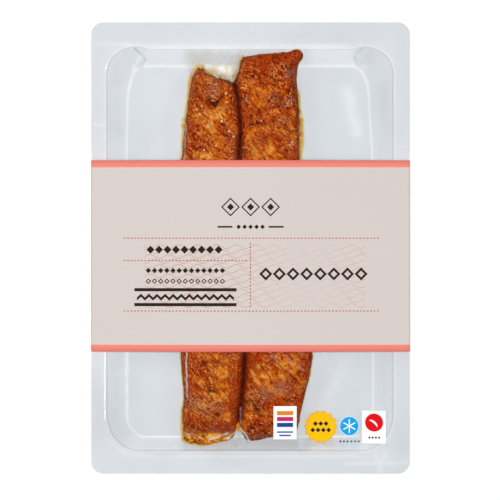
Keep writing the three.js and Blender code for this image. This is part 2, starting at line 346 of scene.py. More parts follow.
def levelAt(x, y):
    # how far up the wall a place is, seen from above, found by halving: the level whose rounded box
    # has the place on its edge
    low, high = np.full(np.shape(x), -0.4), np.full(np.shape(x), 1.4)
    for _ in range(20):
        level = (low + high) / 2
        box = [floorBox[k] + (rimBox[k] - floorBox[k]) * level for k in range(10)]
        left, right = boxSides(box, y)
        rx, ry = cornerRadii(box, y)
        px = (np.abs(x - (left + right) / 2) - (right - left) / 2) / rx + 1
        py = np.maximum(box[2] - y, y - box[3] + backPull(x, level)) / ry + 1
        outside = np.where((px > 0) & (py > 0), np.hypot(px, py), np.maximum(px, py)) > 1
        low, high = np.where(outside, level, low), np.where(outside, high, level)
    return (low + high) / 2


def roundCorners(x, y, box):
    # bends the corners of a rectangle's grid onto arcs about the corners' centres
    left, right = boxSides(box, y)
    rx, ry = cornerRadii(box, y)
    u = np.where(x < 0, left + rx - x, x - right + rx) / rx
    v = np.where(y < 0, box[2] + ry - y, y - box[3] + ry) / ry
    bent = (u > 0) & (v > 0)
    keep = 1 - np.where(bent, np.maximum(u, v) / np.maximum(np.hypot(u, v), 1e-9), 1)
    return x - np.sign(x) * u * rx * keep, y - np.sign(y) * v * ry * keep


# the fillets' form

usual = {"width": 28, "length": 178}  # a fillet's usual size, from which its steps are laid out


def torn(curve, height, seed):
    # an end's curve with torn teeth about 1.4 mm wide
    def edge(s):
        s = np.asarray(s, float)
        return curve(s) + height * cloud(usual["width"] * s, 0 * s, 1.4, seed, 2)
    return edge


seam = curveThrough([(-92, -5.6), (-82, -5.5), (-69, -4), (-50, -2.8), (0, -4.2), (43, -5.4), (56, -4.8),
                     (69, -5.9), (79, -7.4), (84, -5.8), (90, -4.6)])
leftFillet = {
    "name": "fillet_left",
    "left": curveThrough([(-92, -31.4), (-78, -31.8), (-71, -31.1), (-60, -32.1), (-49, -32.7), (0, -32.8),
                          (41, -32.2), (55, -30.9), (70, -29.2), (78, -27.8), (84, -26.8)]),
    "right": lambda y: seam(y) - 0.35,
    "back": torn(curveThrough([(0, 80.6), (0.05, 83.1), (0.12, 85), (0.18, 84), (0.25, 84.4), (0.33, 82.8),
                               (0.55, 81), (0.78, 79), (0.9, 78.3), (1, 79)]), 0.9, 161),
    "front": curveThrough([(0, -90.2), (0.1, -91.5), (0.4, -92.4), (0.7, -91.2), (0.9, -89.5), (1, -84)]),
    "crest": curveThrough([(-92.4, 9.4), (-89.5, 7.6), (-87, 8.6), (-83, 13.2), (-70, 15.6), (-45, 17.6),
                           (0, 18.4), (40, 17.6), (65, 15.4), (77, 12.8), (85, 8.5)]),
    "flakeStart": 3.0, "flakeMiddle": 0.35,
    # how pale the crust is along it
    "tone": curveThrough([(-92, 0.6), (-76, 0.62), (-65, 0.59), (-50, 0.53), (40, 0.52), (85, 0.52)]),
}
rightFillet = {
    "name": "fillet_right",
    "left": lambda y: seam(y) + 0.35,
    "right": curveThrough([(-90, 21), (-86, 22), (-81, 22.8), (-74, 24.4), (-68, 25.7), (-60, 27.6),
                           (-49, 28.9), (0, 26), (41, 22.8), (60, 22.8), (70, 22.3), (79, 21.6), (86, 22.2),
                           (89.5, 24.4)]),
    "back": torn(curveThrough([(0, 88.2), (0.06, 89.9), (0.4, 91.3), (0.75, 92), (0.86, 93.1), (0.96, 93),
                               (1, 91.4)]), 0.2, 163),
    "front": curveThrough([(0, -84.5), (0.13, -90.3), (0.5, -89.6), (0.8, -88), (1, -84.8)]),
    "crest": curveThrough([(-90.5, 9.5), (-86, 14.2), (-75, 16.8), (-45, 18.5), (0, 18.6), (40, 17.4),
                           (70, 15.6), (86, 15), (93.5, 15.2)]),
    "flakeStart": 7.0, "flakeMiddle": 0.6,
    "tone": curveThrough([(-92, 0.47), (-76, 0.5), (-66, 0.56), (-55, 0.45), (40, 0.44), (70, 0.42),
                          (90, 0.37)]),
}
flesh = {
    "flakePitch": 10.5, "flakeLean": 0.85, "flakeHeight": 0.48,
    "flakeRise": 0.93,  # share of a flake that rises before it drops to the next one
    "flakeWander": 1.5,  # how far a flake's edge wanders to and fro
    "lumpHeight": 0.22,
    "shoulder": 3.6, "crown": 0.7, "baseInset": 1.1,
    "overTray": 0.2,  # how far the underside lies above the tray
    "crustSize": 2.4, "crustHeight": 0.42,  # lumps of the spice crust
    "gritSize": 0.95, "gritHeight": 0.16,
    "edgeSteps": [0, 0.08, 0.2, 0.36, 0.56, 0.8, 1.1, 1.4, 1.75, 2.1, 2.5, 2.9],  # mm in from an edge
    "wallSteps": [1, 0.86, 0.7, 0.54, 0.38, 0.24, 0.1],  # share of the way down a side
    "cutDepth": 0.4, "hollowDepth": 0.8,
    # cuts between flakes: x0, y0, x1, y1, share of the depth and of the painted shade darkening the cut,
    # width
    "cuts": [(-26.4, -63.2, -13.4, -74.6, 0.6, 0.3), (-28.5, -72.5, -16.7, -80.5, 0.5, 0.35),
             (-14.3, -52.4, -17.4, -63.3, 0.5, 0.3), (-9.8, -57.8, -9.5, -65.7, 0.5, 0.3),
             (5.3, -55.1, 10.7, -63.2, 0.7, 0.35), (-1.0, -57.0, 0.8, -62.8, 0.5, 0.3),
             (-1.7, -69.7, 4.0, -76.2, 0.8, 0.5), (1.6, -78.1, 9.6, -79.1, 0.5, 0.35),
             (16.7, -57.4, 21.8, -62.1, 0.5, 0.3), (26.1, -64.0, 18.5, -69.7, 0.5, 0.4),
             (-29.5, -65.9, -21.9, -70.6, 0.4, 0.3), (-25.5, -72.0, -12.6, -79.5, 0.4, 0.3),
             (9.1, -51.8, 18.7, -59.4, 0.5, 0.35), (-19.0, 58.0, -17.6, 50.0, 0.4, 0.3),
             (-12.2, 59.5, -9.0, 52.5, 0.4, 0.35), (-24.5, 56.0, -17.0, 45.0, 0.35, 0.3),
             (-25.0, 76.0, -21.5, 68.0, 0.35, 0.3)],
    # dark strokes without depth: x0, y0, x1, y1, share, width
    "stains": [(-20.3, 71.0, -17.0, 66.8, 0.75, 0.9), (-17.0, 66.8, -13.4, 71.6, 0.75, 0.7),
               (10.5, 73.5, 12.0, 69.0, 0.5, 0.8), (12.0, 69.0, 15.0, 71.5, 0.45, 0.8),
               (22.3, 70.0, 21.6, 55.0, 0.45, 0.9), (1.0, 58.6, 7.5, 58.0, 0.45, 0.6),
               (18.5, 86.0, 20.0, 80.0, 0.4, 0.8), (-18.7, -66.6, -14.8, -68.2, 0.5, 0.8)],
    # dark granules on the flap at the left fillet's front end: x, y, radius x, radius y
    "granules": [(-31.2, -89.6, 0.5, 0.4), (-29.6, -90.3, 0.6, 0.5), (-27.9, -89.8, 0.5, 0.5),
                 (-26.6, -91.0, 0.6, 0.4), (-24.2, -90.9, 0.5, 0.4), (-30.4, -91.0, 0.4, 0.4)],
    # small hollows in the crust, carved and darkened with painted shade: x, y, radius x, radius y
    "hollows": [(-18.2, -67.3, 1.6, 1.2), (-15.3, -79.1, 1.2, 0.8), (-1.7, -72.5, 1.7, 1.3),
                (3.5, -75.3, 1.5, 2.0), (-20.5, -75.8, 0.8, 0.8), (-22.4, -54.6, 1.3, 0.9),
                (-1.2, 50.3, 0.9, 0.6), (15.7, 43.7, 0.7, 0.7), (-16.6, 68.2, 1.8, 1.5)],
}


def trayHeightAlong(y):
    # the tray's upper face where only its two end walls rise
    back = (y - floorBox[3]) / (rimBox[3] - tray["backPull"][0] - floorBox[3])
    front = (floorBox[2] - y) / (floorBox[2] - rimBox[2])
    return trayHeight(np.maximum(np.maximum(back, front), -0.1))


def filletRelief(fillet, x, y, inside):
    # flakes: saw teeth along the fillet that lean back each side of its middle line; then low lumps,
    # the crust's clouds, cuts and hollows. Flakes and lumps fade out over the shoulder, the crust does not
    middle = fillet["left"](y) + (fillet["right"](y) - fillet["left"](y)) * fillet["flakeMiddle"]
    wander = flesh["flakeWander"] * cloud(x, y, 12, 5, 2)
    turns = y + fillet["flakeStart"] - flesh["flakeLean"] * np.abs(x - middle) + wander
    step = turns / flesh["flakePitch"] % 1
    rise = flesh["flakeRise"]
    tooth = np.where(step < rise, (step / rise) ** 1.6, (1 - step) / (1 - rise))
    lumps = flesh["lumpHeight"] * np.sin(0.41 * x + 0.13 * y) * np.cos(0.19 * y - 0.3 * x + 1)
    crust = flesh["crustHeight"] * cloud(x, y, flesh["crustSize"], 11, 3)
    grit = flesh["gritHeight"] * cloud(x, y, flesh["gritSize"], 21, 2)
    carved = (flesh["cutDepth"] * lines(x, y, flesh["cuts"], 0.9)
              + flesh["hollowDepth"] * spots(x, y, flesh["hollows"]))
    broad = flesh["flakeHeight"] * (tooth - 0.5) + lumps
    fine = crust + grit - carved
    return broad * np.clip(inside / flesh["shoulder"], 0, 1) + fine * np.clip(inside / 0.9, 0.35, 1)


def filletTop(fillet, x, y, s, inside, base):
    # crest height less a crown across the fillet, its shoulders dropped along a quarter circle
    peak = tray["floorTop"] + fillet["crest"](y) - flesh["crown"] * (2 * s - 1) ** 2
    radius = np.maximum(np.minimum(flesh["shoulder"], 0.55 * (peak - base)), 0.2)
    short = np.clip(radius - inside, 0, radius)
    drop = radius - np.sqrt(radius**2 - short**2)
    return peak - drop + filletRelief(fillet, x, y, inside)


# the film's form: a skin drawn taut over the fish and the tray

film = {
    "cell": 0.3, "left": -62.0, "right": 62.0, "front": -104.0, "back": 104.0,
    "gap": 0.1,  # from the bare tray up to the film
    "overFish": 0.06,
    "rounds": 130,  # rounds of averaging: more of them bridge wider hollows
    "signRounds": 40,  # further rounds under the printed signs, which bridge the small bumps
    # where the film is held up like a tent: x0, y0, x1, y1, lift at the first and at the second end
    "tents": [(-5.6, -84.0, -11.0, -90.2, 8.6, 0.6), (-5.6, -84.0, -0.3, -91.6, 8.6, 0.5)],
    # folds in the film: x0, y0, x1, y1, height, width
    "folds": [(-19.1, -89.8, -11.4, -86.8, 0.8, 0.45), (-31.5, -87.7, -28.5, -88.6, 0.6, 0.5),
              (-24.6, -87.8, -22.6, -89.6, 0.6, 0.4), (-30.3, 58.0, -31.2, 41.0, 0.15, 0.5),
              (-31.2, -49.0, -30.4, -71.0, 0.15, 0.5), (16.1, -50.6, 27.8, -57.0, 0.25, 0.5),
              (-22.5, 84.5, -26.0, 91.0, 0.5, 0.6), (-12.0, 80.5, -10.5, 88.5, 0.4, 0.6),
              (-8.0, 84.0, -4.5, 90.5, 0.6, 0.5), (22.5, -84.8, 27.0, -89.5, 0.6, 0.6),
              (-54.5, 94.0, -53.0, 91.9, 0.5, 0.6), (-53.0, 91.9, -50.4, 90.4, 0.6, 0.6),
              (-50.4, 90.4, -50.1, 88.0, 0.5, 0.6), (-50.1, 88.0, -51.6, 84.3, 0.5, 0.7),
              (52.3, 94.0, 48.9, 91.2, 0.6, 0.6), (48.9, 91.2, 49.4, 88.0, 0.5, 0.6),
              (49.4, 88.0, 50.8, 84.6, 0.5, 0.7), (59.4, -97.4, 60.8, -101.0, 0.25, 0.5),
              (63.5, -97.0, 60.8, -101.0, 0.25, 0.5), (60.8, -101.0, 61.0, -104.0, 0.25, 0.5)],
    # milky strokes: trapped air in the tent and the flap's folds, and painted highlights along the tent's
    # ridges, the
    # flap's wrinkles, the left fillet's shoulder, the seam above the tent and wrinkles over the right fillet:
    # x0, y0, x1, y1, share, width
    "milkAndHighlights": [(-5.6, -86.0, -5.7, -88.8, 0.4, 1.2), (-5.4, -85.2, -11.0, -90.2, 0.75, 0.4),
              (-5.0, -84.6, 0.0, -91.4, 0.85, 0.4), (-19.4, -90.3, -10.9, -87.4, 0.7, 0.5),
              (-4.6, -75.0, -5.0, -83.5, 0.22, 0.25),
              (-31.6, -87.2, -28.6, -88.3, 0.5, 0.4), (-24.2, -89.0, -22.8, -90.2, 0.6, 0.35),
              (-27.9, -87.2, -26.4, -89.4, 0.5, 0.3), (-12.0, -89.8, -8.5, -88.0, 0.4, 0.3),
              (-30.4, 58.0, -31.0, 41.0, 0.4, 0.3), (-30.2, -49.0, -29.9, -70.0, 0.5, 0.28),
              (9.5, -50.5, 13.5, -52.0, 0.2, 0.25), (16.1, -50.6, 19.5, -53.0, 0.25, 0.25),
              (22.5, -55.0, 25.0, -57.5, 0.25, 0.25)],
    # painted highlights, drawn as plastic that lets more light through: along folds at the tray's corners,
    # the back edge of the seal and wrinkles in the flange, and wide soft streaks of painted sheen
    "paintedHighlights": [(-52.2, 90.0, -53.4, 87.8, 1.0, 0.8), (-55.6, 84.6, -54.6, 86.6, 1.0, 0.7),
               (-48.8, 91.8, -47.9, 93.6, 0.9, 0.5), (-49.2, 88.2, -50.5, 84.6, 0.9, 0.5),
               (52.4, 86.4, 55.0, 85.4, 1.0, 0.7), (48.4, 88.5, 50.2, 85.0, 0.9, 0.5),
               (59.2, -97.2, 60.8, -101.0, 1.0, 0.7), (63.8, -96.8, 60.8, -101.0, 1.0, 0.7),
               (60.8, -101.0, 61.0, -105.0, 1.0, 0.7), (-74.0, 58.0, -68.6, 58.0, 1.0, 0.7),
               (-74.0, 96.4, -52.0, 95.6, 0.8, 0.8), (-48.0, 94.9, 46.0, 95.0, 1.0, 0.8),
               (-67.0, -91.0, -58.0, -97.8, 0.9, 0.7), (-58.0, -97.8, 50.0, -98.0, 0.9, 0.7),
               (44.0, -101.8, 74.0, -101.0, 0.8, 0.8), (45.5, 74.0, 50.5, 55.0, 1.0, 3.0),
               (44.5, -55.0, 32.0, -79.0, 0.5, 3.0)],
    # strokes of painted shade: creases at the tray's corners, lines along the front rim and lines beside the
    # tent's ridges
    "darkAndShade": [(-54.5, 94.0, -52.6, 92.0, 0.7, 0.35), (-52.6, 92.0, -50.4, 91.0, 0.5, 0.3),
             (-50.4, 91.0, -49.9, 88.2, 0.7, 0.35), (-49.9, 88.2, -51.4, 84.9, 0.6, 0.3),
             (-51.5, 87.6, -53.0, 85.6, 0.4, 0.3), (52.6, 93.8, 49.2, 91.4, 0.5, 0.3),
             (49.2, 91.4, 49.5, 88.2, 0.7, 0.35), (49.5, 88.2, 50.8, 84.9, 0.5, 0.3),
             (60.0, -97.4, 61.3, -101.0, 0.3, 0.3), (-52.0, -95.2, 50.0, -95.3, 0.4, 0.4),
             (-50.0, -97.0, 40.0, -97.1, 0.2, 0.3), (-6.6, -86.6, -10.6, -90.2, 0.6, 0.3),
             (-4.7, -86.6, -0.9, -91.8, 0.6, 0.3)],
}


def insideOf(fillet, x, y):
    # share across the fillet, and the distance in from its nearest edge, at any place
    left, width = fillet["left"](y), fillet["right"](y) - fillet["left"](y)
    s = (x - left) / width
    across = np.clip(s, 0, 1)
    ends = np.minimum(y - fillet["front"](across), fillet["back"](across) - y)
    return s, np.minimum(np.minimum(s, 1 - s) * width, ends)


def neighbours(grid):
    # the four neighbours of each cell, the edge cells beside themselves
    p = np.pad(grid, 1, mode="edge")
    return np.stack([p[:-2, 1:-1], p[2:, 1:-1], p[1:-1, :-2], p[1:-1, 2:]])


def drawFilm():
    # lift of the film above the bare tray, on a grid of cells. It starts on the tray, the fish and the
    # tents, and in each round every cell becomes the mean of its four neighbours, but never lower than what
    # it lies on
    x = np.arange(film["left"], film["right"], film["cell"])
    y = np.arange(film["front"], film["back"], film["cell"])
    gx, gy = np.meshgrid(x, y)
    bare = trayHeightAlong(gy)
    under = bare.copy()
    for fillet in (leftFillet, rightFillet):
        s, inside = insideOf(fillet, gx, gy)
        top = filletTop(fillet, gx, gy, np.clip(s, 0, 1), np.maximum(inside, 0), bare)
        under = np.where(inside > 0, np.maximum(under, top + film["overFish"]), under)
    under = np.maximum(under, neighbours(under).max(0))
    for *stroke, first, last in film["tents"]:
        t, away = nearestOn(gx, gy, *stroke)
        lifted = np.maximum(under, bare + first + (last - first) * t)
        under = np.where(away < film["cell"], lifted, under)
    skin = under.copy()
    for _ in range(film["rounds"]):
        skin = np.maximum(under, neighbours(skin).mean(0))
    return np.maximum(skin - bare + lines(gx, gy, film["folds"], 0.4), 0)


filmLift = drawFilm()
smoothLift = filmLift.copy()
for _ in range(film["signRounds"]):
    smoothLift = np.maximum(filmLift, neighbours(smoothLift).mean(0))
print("stage: film drawn over", filmLift.shape, "cells, highest", round(float(filmLift.max()), 2), "mm")


def liftAt(x, y, grid):
    # straight-line blend of the four cells round a place, and nothing outside the grid
    u = (x - film["left"]) / film["cell"]
    v = (y - film["front"]) / film["cell"]
    rows, columns = grid.shape
    outside = (u < 0) | (u > columns - 1.001) | (v < 0) | (v > rows - 1.001)
    u, v = np.clip(u, 0, columns - 1.001), np.clip(v, 0, rows - 1.001)
    i, j = u.astype(int), v.astype(int)
    fu, fv = u - i, v - j
    low = grid[j, i] * (1 - fu) + grid[j, i + 1] * fu
    high = grid[j + 1, i] * (1 - fu) + grid[j + 1, i + 1] * fu
    return np.where(outside, 0, low * (1 - fv) + high * fv)


# clear plastics


def glossShare(tree, straight, most, power, normal=None):
    # how much a clear sheet mirrors, alike from both of its sides:
    # straight + (most - straight) * (1 - cosine of the angle to the normal) ^ power
    facing = node(tree, "LayerWeight", {"Blend": 0.5, **({"Normal": normal} if normal else {})})
    steep = node(tree, "Math", {0: facing.outputs["Facing"], 1: power}, operation="POWER")
    return node(tree, "Math", {0: steep, 1: most - straight, 2: straight}, operation="MULTIPLY_ADD")


def clearSheet(name, straight, most, power, roughness, bumpHeight):
    # clear plastic: light goes straight through with little loss. Painted highlights and painted shade, drawn
    # as more or less of the light let through, stand in for the light that bends gather or spread, and for
    # folds and streaks of sheen. Folds, trapped air and juice under it look milky, and painted highlights are
    # drawn in the same milky white.
    # Its gloss mirrors the lights more at a slant
    made, tree = newMaterial(name)
    place = node(tree, "TexCoord").outputs["Object"]
    share = {key: node(tree, "Attribute", attribute_name=key).outputs["Fac"]
             for key in ("greyAndShade", "white", "milkAndHighlightShare", "butter")}
    # greyer where the film is hazy, and painted shade along creases, bends and walls
    greyedAndShaded = node(tree, "MixRGB", {"Fac": share["greyAndShade"], "Color1": linear("#F9FAFB"),
                                   "Color2": linear("#CED1D3")})
    # painted highlights: the white share lets all the light through
    colour = node(tree, "MixRGB", {"Fac": share["white"], "Color1": greyedAndShaded, "Color2": linear("#FFFFFF")})
    ripple = node(tree, "TexNoise", {"Vector": place, "Scale": 1 / (6 * mm), "Detail": 2.0})
    bump = node(tree, "Bump", {"Height": ripple, "Strength": 1.0, "Distance": bumpHeight})
    through = node(tree, "BsdfTransparent", {"Color": colour})
    juice = node(tree, "MixRGB", {"Fac": share["butter"], "Color1": linear("#F6F8F9"),
                                  "Color2": linear("#EBC556")})
    milkAndHighlights = node(tree, "BsdfDiffuse", {"Color": juice})
    inside = node(tree, "MixShader", {0: share["milkAndHighlightShare"], 1: through, 2: milkAndHighlights})
    gloss = node(tree, "BsdfGlossy", {"Color": (1, 1, 1, 1), "Roughness": roughness, "Normal": bump})
    mirrored = glossShare(tree, straight, most, power, bump.outputs[0])
    both = node(tree, "MixShader", {0: mirrored, 1: inside, 2: gloss})
    node(tree, "OutputMaterial", {"Surface": both})
    return made


# the film clings to the moist fish, so it mirrors less at a slant than the free tray does
trayPlastic = clearSheet("thermoformed_clear_polyester", 0.03, 1.0, 5.0, 0.06, 0.03 * mm)
filmPlastic = clearSheet("clear_vacuum_film", 0.015, 0.08, 6.0, 0.09, 0.05 * mm)
print("stage: plastics")

# fillets

patches = {
    # places where the crust differs: x, y, radius x, radius y
    "ashAndSheen": [(-18.2, 74.3, 3.8, 3.8), (-29.5, 73.4, 2.4, 2.8), (11.5, 71.0, 2.8, 2.4), (18.5, 82.3, 2.8, 2.4),
            (18.5, 68.7, 2.8, 2.8), (15.7, 59.3, 2.8, 1.9), (-2.6, 69.6, 1.9, 1.9), (-28.5, -71.5, 2.4, 2.8),
            (6.0, -68.0, 6.5, 4.2), (15.0, -65.0, 3.5, 2.8), (-20.0, -75.0, 9.0, 4.0)],
    "brown": [(-16.7, 69.1, 1.9, 1.9), (1.6, 58.3, 4.2, 1.4), (-22.4, 47.5, 2.8, 2.4), (5.4, 81.4, 5.6, 3.8),
              (23.2, -69.2, 4.7, 2.8), (17.6, -72.0, 5.6, 2.4), (-13.5, -84.2, 3.8, 1.9),
              (5.4, -85.7, 6.6, 4.7), (17.0, 84.0, 5.0, 4.0), (14.5, 66.5, 4.0, 3.0), (19.5, 76.0, 2.5, 5.0),
              (-21.0, -85.2, 8.0, 1.6), (24.0, -68.5, 1.8, 4.0)],
    "ochre": [(5.4, 73.4, 4.2, 3.8), (3.0, 68.2, 3.8, 2.8), (-19.1, 61.1, 4.7, 3.8), (-17.7, 55.5, 3.8, 2.8),
              (-21.5, 43.7, 6.6, 2.8), (6.8, 46.1, 6.6, 3.8), (-1.2, 53.1, 2.8, 2.8), (-12.0, 64.0, 3.8, 3.8),
              (-23.8, -63.5, 3.8, 2.4), (-13.5, -69.2, 4.7, 2.8), (-13.5, -58.4, 2.8, 3.8),
              (1.6, -57.4, 3.8, 4.7), (11.5, -61.2, 3.8, 3.8), (25.6, -64.5, 2.8, 3.8),
              (18.5, -55.1, 4.7, 3.8), (-22.9, -73.9, 5.6, 2.8), (8.0, -65.5, 7.0, 4.5)],
    "red": [(16.2, 90.3, 7.5, 2.8), (-27.6, 53.6, 1.9, 3.8), (22.8, 56.4, 1.4, 13.2), (-7.3, 49.4, 1.9, 6.6),
            (-26.2, -56.5, 2.8, 3.8), (-7.0, -66.8, 1.7, 14.1), (-23.8, -82.4, 6.6, 1.9),
            (-8.5, -83.3, 2.0, 4.7), (23.2, 90.8, 2.4, 2.8), (2.0, 89.0, 5.0, 2.0), (10.0, 89.5, 6.0, 2.2),
            (21.5, 84.0, 1.6, 4.0), (-24.0, -85.0, 8.0, 2.0), (-12.0, -84.8, 6.0, 1.8)],
    # painted glints: small highlights of the lamps on bubbles under the film
    "paintedGlints": [(-25.2, 64.9, 0.5, 0.5), (-24.3, 63.0, 0.5, 0.5), (-13.5, 59.7, 0.6, 0.6),
               (-10.2, 55.0, 0.6, 0.5), (-7.8, 52.2, 0.7, 0.7), (-11.6, 72.9, 0.6, 0.7),
               (-11.1, 68.7, 0.5, 0.5), (-20.0, 57.4, 0.5, 0.9), (-16.3, 48.0, 0.5, 0.7),
               (-21.9, 46.1, 0.5, 0.5), (-18.6, 54.6, 0.4, 0.4), (4.9, 59.7, 0.5, 0.3),
               (-4.0, 75.3, 0.5, 0.3), (-24.4, -50.9, 0.5, 0.4)],
}


def smokedFish():
    # hot smoked salmon under a baked spice paste: a rough crust, ochre where the flesh shows through, brick
    # red to mahogany where the paste is thick, greyed where it dried and where the film's soft sheen is
    # painted in.
    # Painted shade darkens its furrows, cuts, hollows and the strip by the seam, and painted highlights
    # lighten its crests, the rims of its cuts and a few glints. The film clings to the moist crust, so the
    # fish itself hardly
    # shines: its specular level is low
    made, tree = newMaterial("hot_smoked_salmon_with_spice_crust")
    place = node(tree, "TexCoord").outputs["Object"]
    share = {name: node(tree, "Attribute", attribute_name=name).outputs["Fac"]
             for name in ("tone", "red", "ashAndSheen", "crust", "darkAndShade", "pale", "paintedGlint", "amber")}
    # the paste was brushed on at a slant, so its streaks run down to the right
    brushed = node(tree, "Mapping", {"Vector": place, "Rotation": (0, 0, 0.7), "Scale": (1, 2.3, 1)},
                   vector_type="TEXTURE")
    streaks = node(tree, "TexNoise", {"Vector": brushed, "Scale": 1 / (1.8 * mm), "Detail": 2,
                                      "Roughness": 0.5, "Distortion": 0.8})
    lumps = node(tree, "TexNoise", {"Vector": place, "Scale": 1 / (2.8 * mm), "Detail": 2, "Roughness": 0.5})
    crumbs = node(tree, "TexNoise", {"Vector": place, "Scale": 1 / (0.7 * mm), "Detail": 2, "Roughness": 0.6,
                                     "Distortion": 0.5})
    wide = node(tree, "Math", {0: lumps, 1: 0.9, 2: streaks}, operation="MULTIPLY_ADD")
    rough = node(tree, "Math", {0: crumbs, 1: 0.3, 2: wide}, operation="MULTIPLY_ADD")
    centred = node(tree, "Math", {0: rough, 1: -1.1}, operation="ADD")
    swing = node(tree, "Math", {0: centred, 1: 1.2, 2: share["tone"]}, operation="MULTIPLY_ADD")
    base = node(tree, "ValToRGB", {"Fac": swing}, ramp=[
        (0.0, "#560D01"), (0.15, "#842203"), (0.34, "#B04408"), (0.52, "#CA5E0E"), (0.7, "#DA7A18"),
        (1.0, "#EBA04A")])
    # brick-red paste lies in patches of about 2 mm, closer together where "red" is high
    paste = node(tree, "TexNoise", {"Vector": brushed, "Scale": 1 / (2.2 * mm), "Detail": 2,
                                    "Roughness": 0.6})
    laid = node(tree, "Math", {0: share["red"], 1: 0.16, 2: paste}, operation="MULTIPLY_ADD")
    redShare = node(tree, "MapRange", {"Value": laid, "From Min": 0.52, "From Max": 0.66, "To Max": 0.85})
    pasteShade = node(tree, "ValToRGB", {"Fac": crumbs}, ramp=[
        (0.3, "#620C01"), (0.5, "#A42C05"), (0.7, "#C84C0C")])
    redder = node(tree, "MixRGB", {"Fac": redShare, "Color1": base, "Color2": pasteShade})
    # dried paste, and in places the film's soft sheen painted in: mauve grey crumbs
    dried = node(tree, "MapRange", {"Value": crumbs, "From Min": 0.36, "From Max": 0.58})
    ashAndSheenShare = node(tree, "Math", {0: share["ashAndSheen"], 1: dried}, operation="MULTIPLY")
    withAshAndSheen = node(tree, "MixRGB", {"Fac": ashAndSheenShare, "Color1": redder, "Color2": linear("#AC6A4E")})
    # wrinkles about 1.5 mm apart: a wide noise folded to and fro, 0 in a furrow and 0.5 on a crest.
    # Their furrows carry painted shade and their crests painted highlights, both strong where the crust is
    # thick
    folds = node(tree, "TexNoise", {"Vector": brushed, "Scale": 1 / (3.2 * mm), "Detail": 2,
                                    "Roughness": 0.55, "Distortion": 1.2})
    wider = node(tree, "Math", {0: folds, 1: 6.0}, operation="MULTIPLY")
    wrinkle = node(tree, "Math", {0: wider, 1: 0.5}, operation="PINGPONG")
    furrowShade = node(tree, "MapRange", {"Value": wrinkle, "From Min": 0.2, "From Max": 0.04, "To Max": 0.8})
    furrowShadeShare = node(tree, "Math", {0: furrowShade, 1: share["crust"]}, operation="MULTIPLY")
    furrowShaded = node(tree, "MixRGB", {"Fac": furrowShadeShare, "Color1": withAshAndSheen, "Color2": linear("#661803")})
    crest = node(tree, "MapRange", {"Value": wrinkle, "From Min": 0.34, "From Max": 0.47, "To Max": 0.6})
    crestHighlightShare = node(tree, "Math", {0: crest, 1: share["crust"]}, operation="MULTIPLY")
    crestAndCutHighlight = node(tree, "Math", {0: crestHighlightShare, 1: share["pale"]}, operation="MAXIMUM")
    crestHighlighted = node(tree, "MixRGB", {"Fac": crestAndCutHighlight, "Color1": furrowShaded, "Color2": linear("#E89A54")})
    curdled = node(tree, "ValToRGB", {"Fac": folds}, ramp=[
        (0.3, "#6A2806"), (0.42, "#B65A0A"), (0.54, "#D88418"), (0.72, "#EEBC54")])
    fat = node(tree, "MixRGB", {"Fac": share["amber"], "Color1": crestHighlighted, "Color2": curdled})
    # dark and pale spice: specks of about 0.5 mm, each kind in one of fourteen cells of 1.1 mm
    cells = node(tree, "TexVoronoi", {"Vector": place, "Scale": 1 / (1.1 * mm)})
    draw = node(tree, "SeparateColor", {0: cells.outputs["Color"]})
    near = node(tree, "MapRange", {"Value": cells.outputs["Distance"], "From Min": 0.34, "From Max": 0.2,
                                   "To Max": 0.7})
    isDark = node(tree, "Math", {0: draw.outputs[0], 1: 0.93}, operation="GREATER_THAN")
    isPale = node(tree, "Math", {0: draw.outputs[1], 1: 0.94}, operation="GREATER_THAN")
    darkSpeck = node(tree, "Math", {0: near, 1: isDark}, operation="MULTIPLY")
    paleSpeck = node(tree, "Math", {0: near, 1: isPale}, operation="MULTIPLY")
    palePart = node(tree, "Math", {0: paleSpeck, 1: share["crust"]}, operation="MULTIPLY")
    # dark spice specks, with the stains, granules and painted shade
    darkSpeckAndShadeShare = node(tree, "Math", {0: darkSpeck, 1: share["darkAndShade"]}, operation="MAXIMUM")
    # pale spice specks in the crust, with the painted glints
    paleSpeckAndGlintShare = node(tree, "Math", {0: palePart, 1: share["paintedGlint"]}, operation="MAXIMUM")
    darkenedAndShaded = node(tree, "MixRGB", {"Fac": darkSpeckAndShadeShare, "Color1": fat, "Color2": linear("#480D02")})
    specksAndGlints = node(tree, "MixRGB", {"Fac": paleSpeckAndGlintShare, "Color1": darkenedAndShaded, "Color2": linear("#F3CFA0")})
    # every grain of half a millimetre in the crust is a little lighter or darker than the next
    grains = node(tree, "TexNoise", {"Vector": place, "Scale": 1 / (0.55 * mm), "Detail": 0.0})
    grainTone = node(tree, "MapRange", {"Value": grains, "From Min": 0.28, "From Max": 0.72, "To Min": 0.56,
                                        "To Max": 1.44})
    grainy = node(tree, "MixRGB", {"Fac": share["crust"], "Color1": specksAndGlints, "Color2": grainTone},
                  blend_type="MULTIPLY")
    relief = node(tree, "Math", {0: wrinkle, 1: 0.8, 2: rough}, operation="MULTIPLY_ADD")
    bump = node(tree, "Bump", {"Height": relief, "Strength": 0.9, "Distance": 0.4 * mm})
    shade = node(tree, "BsdfPrincipled", {"Base Color": grainy, "Roughness": 0.5, "IOR": 1.2,
                                          "Specular IOR Level": 0.1, "Normal": bump})
    node(tree, "OutputMaterial", {"Surface": shade})
    return made


fishMaterial = smokedFish()


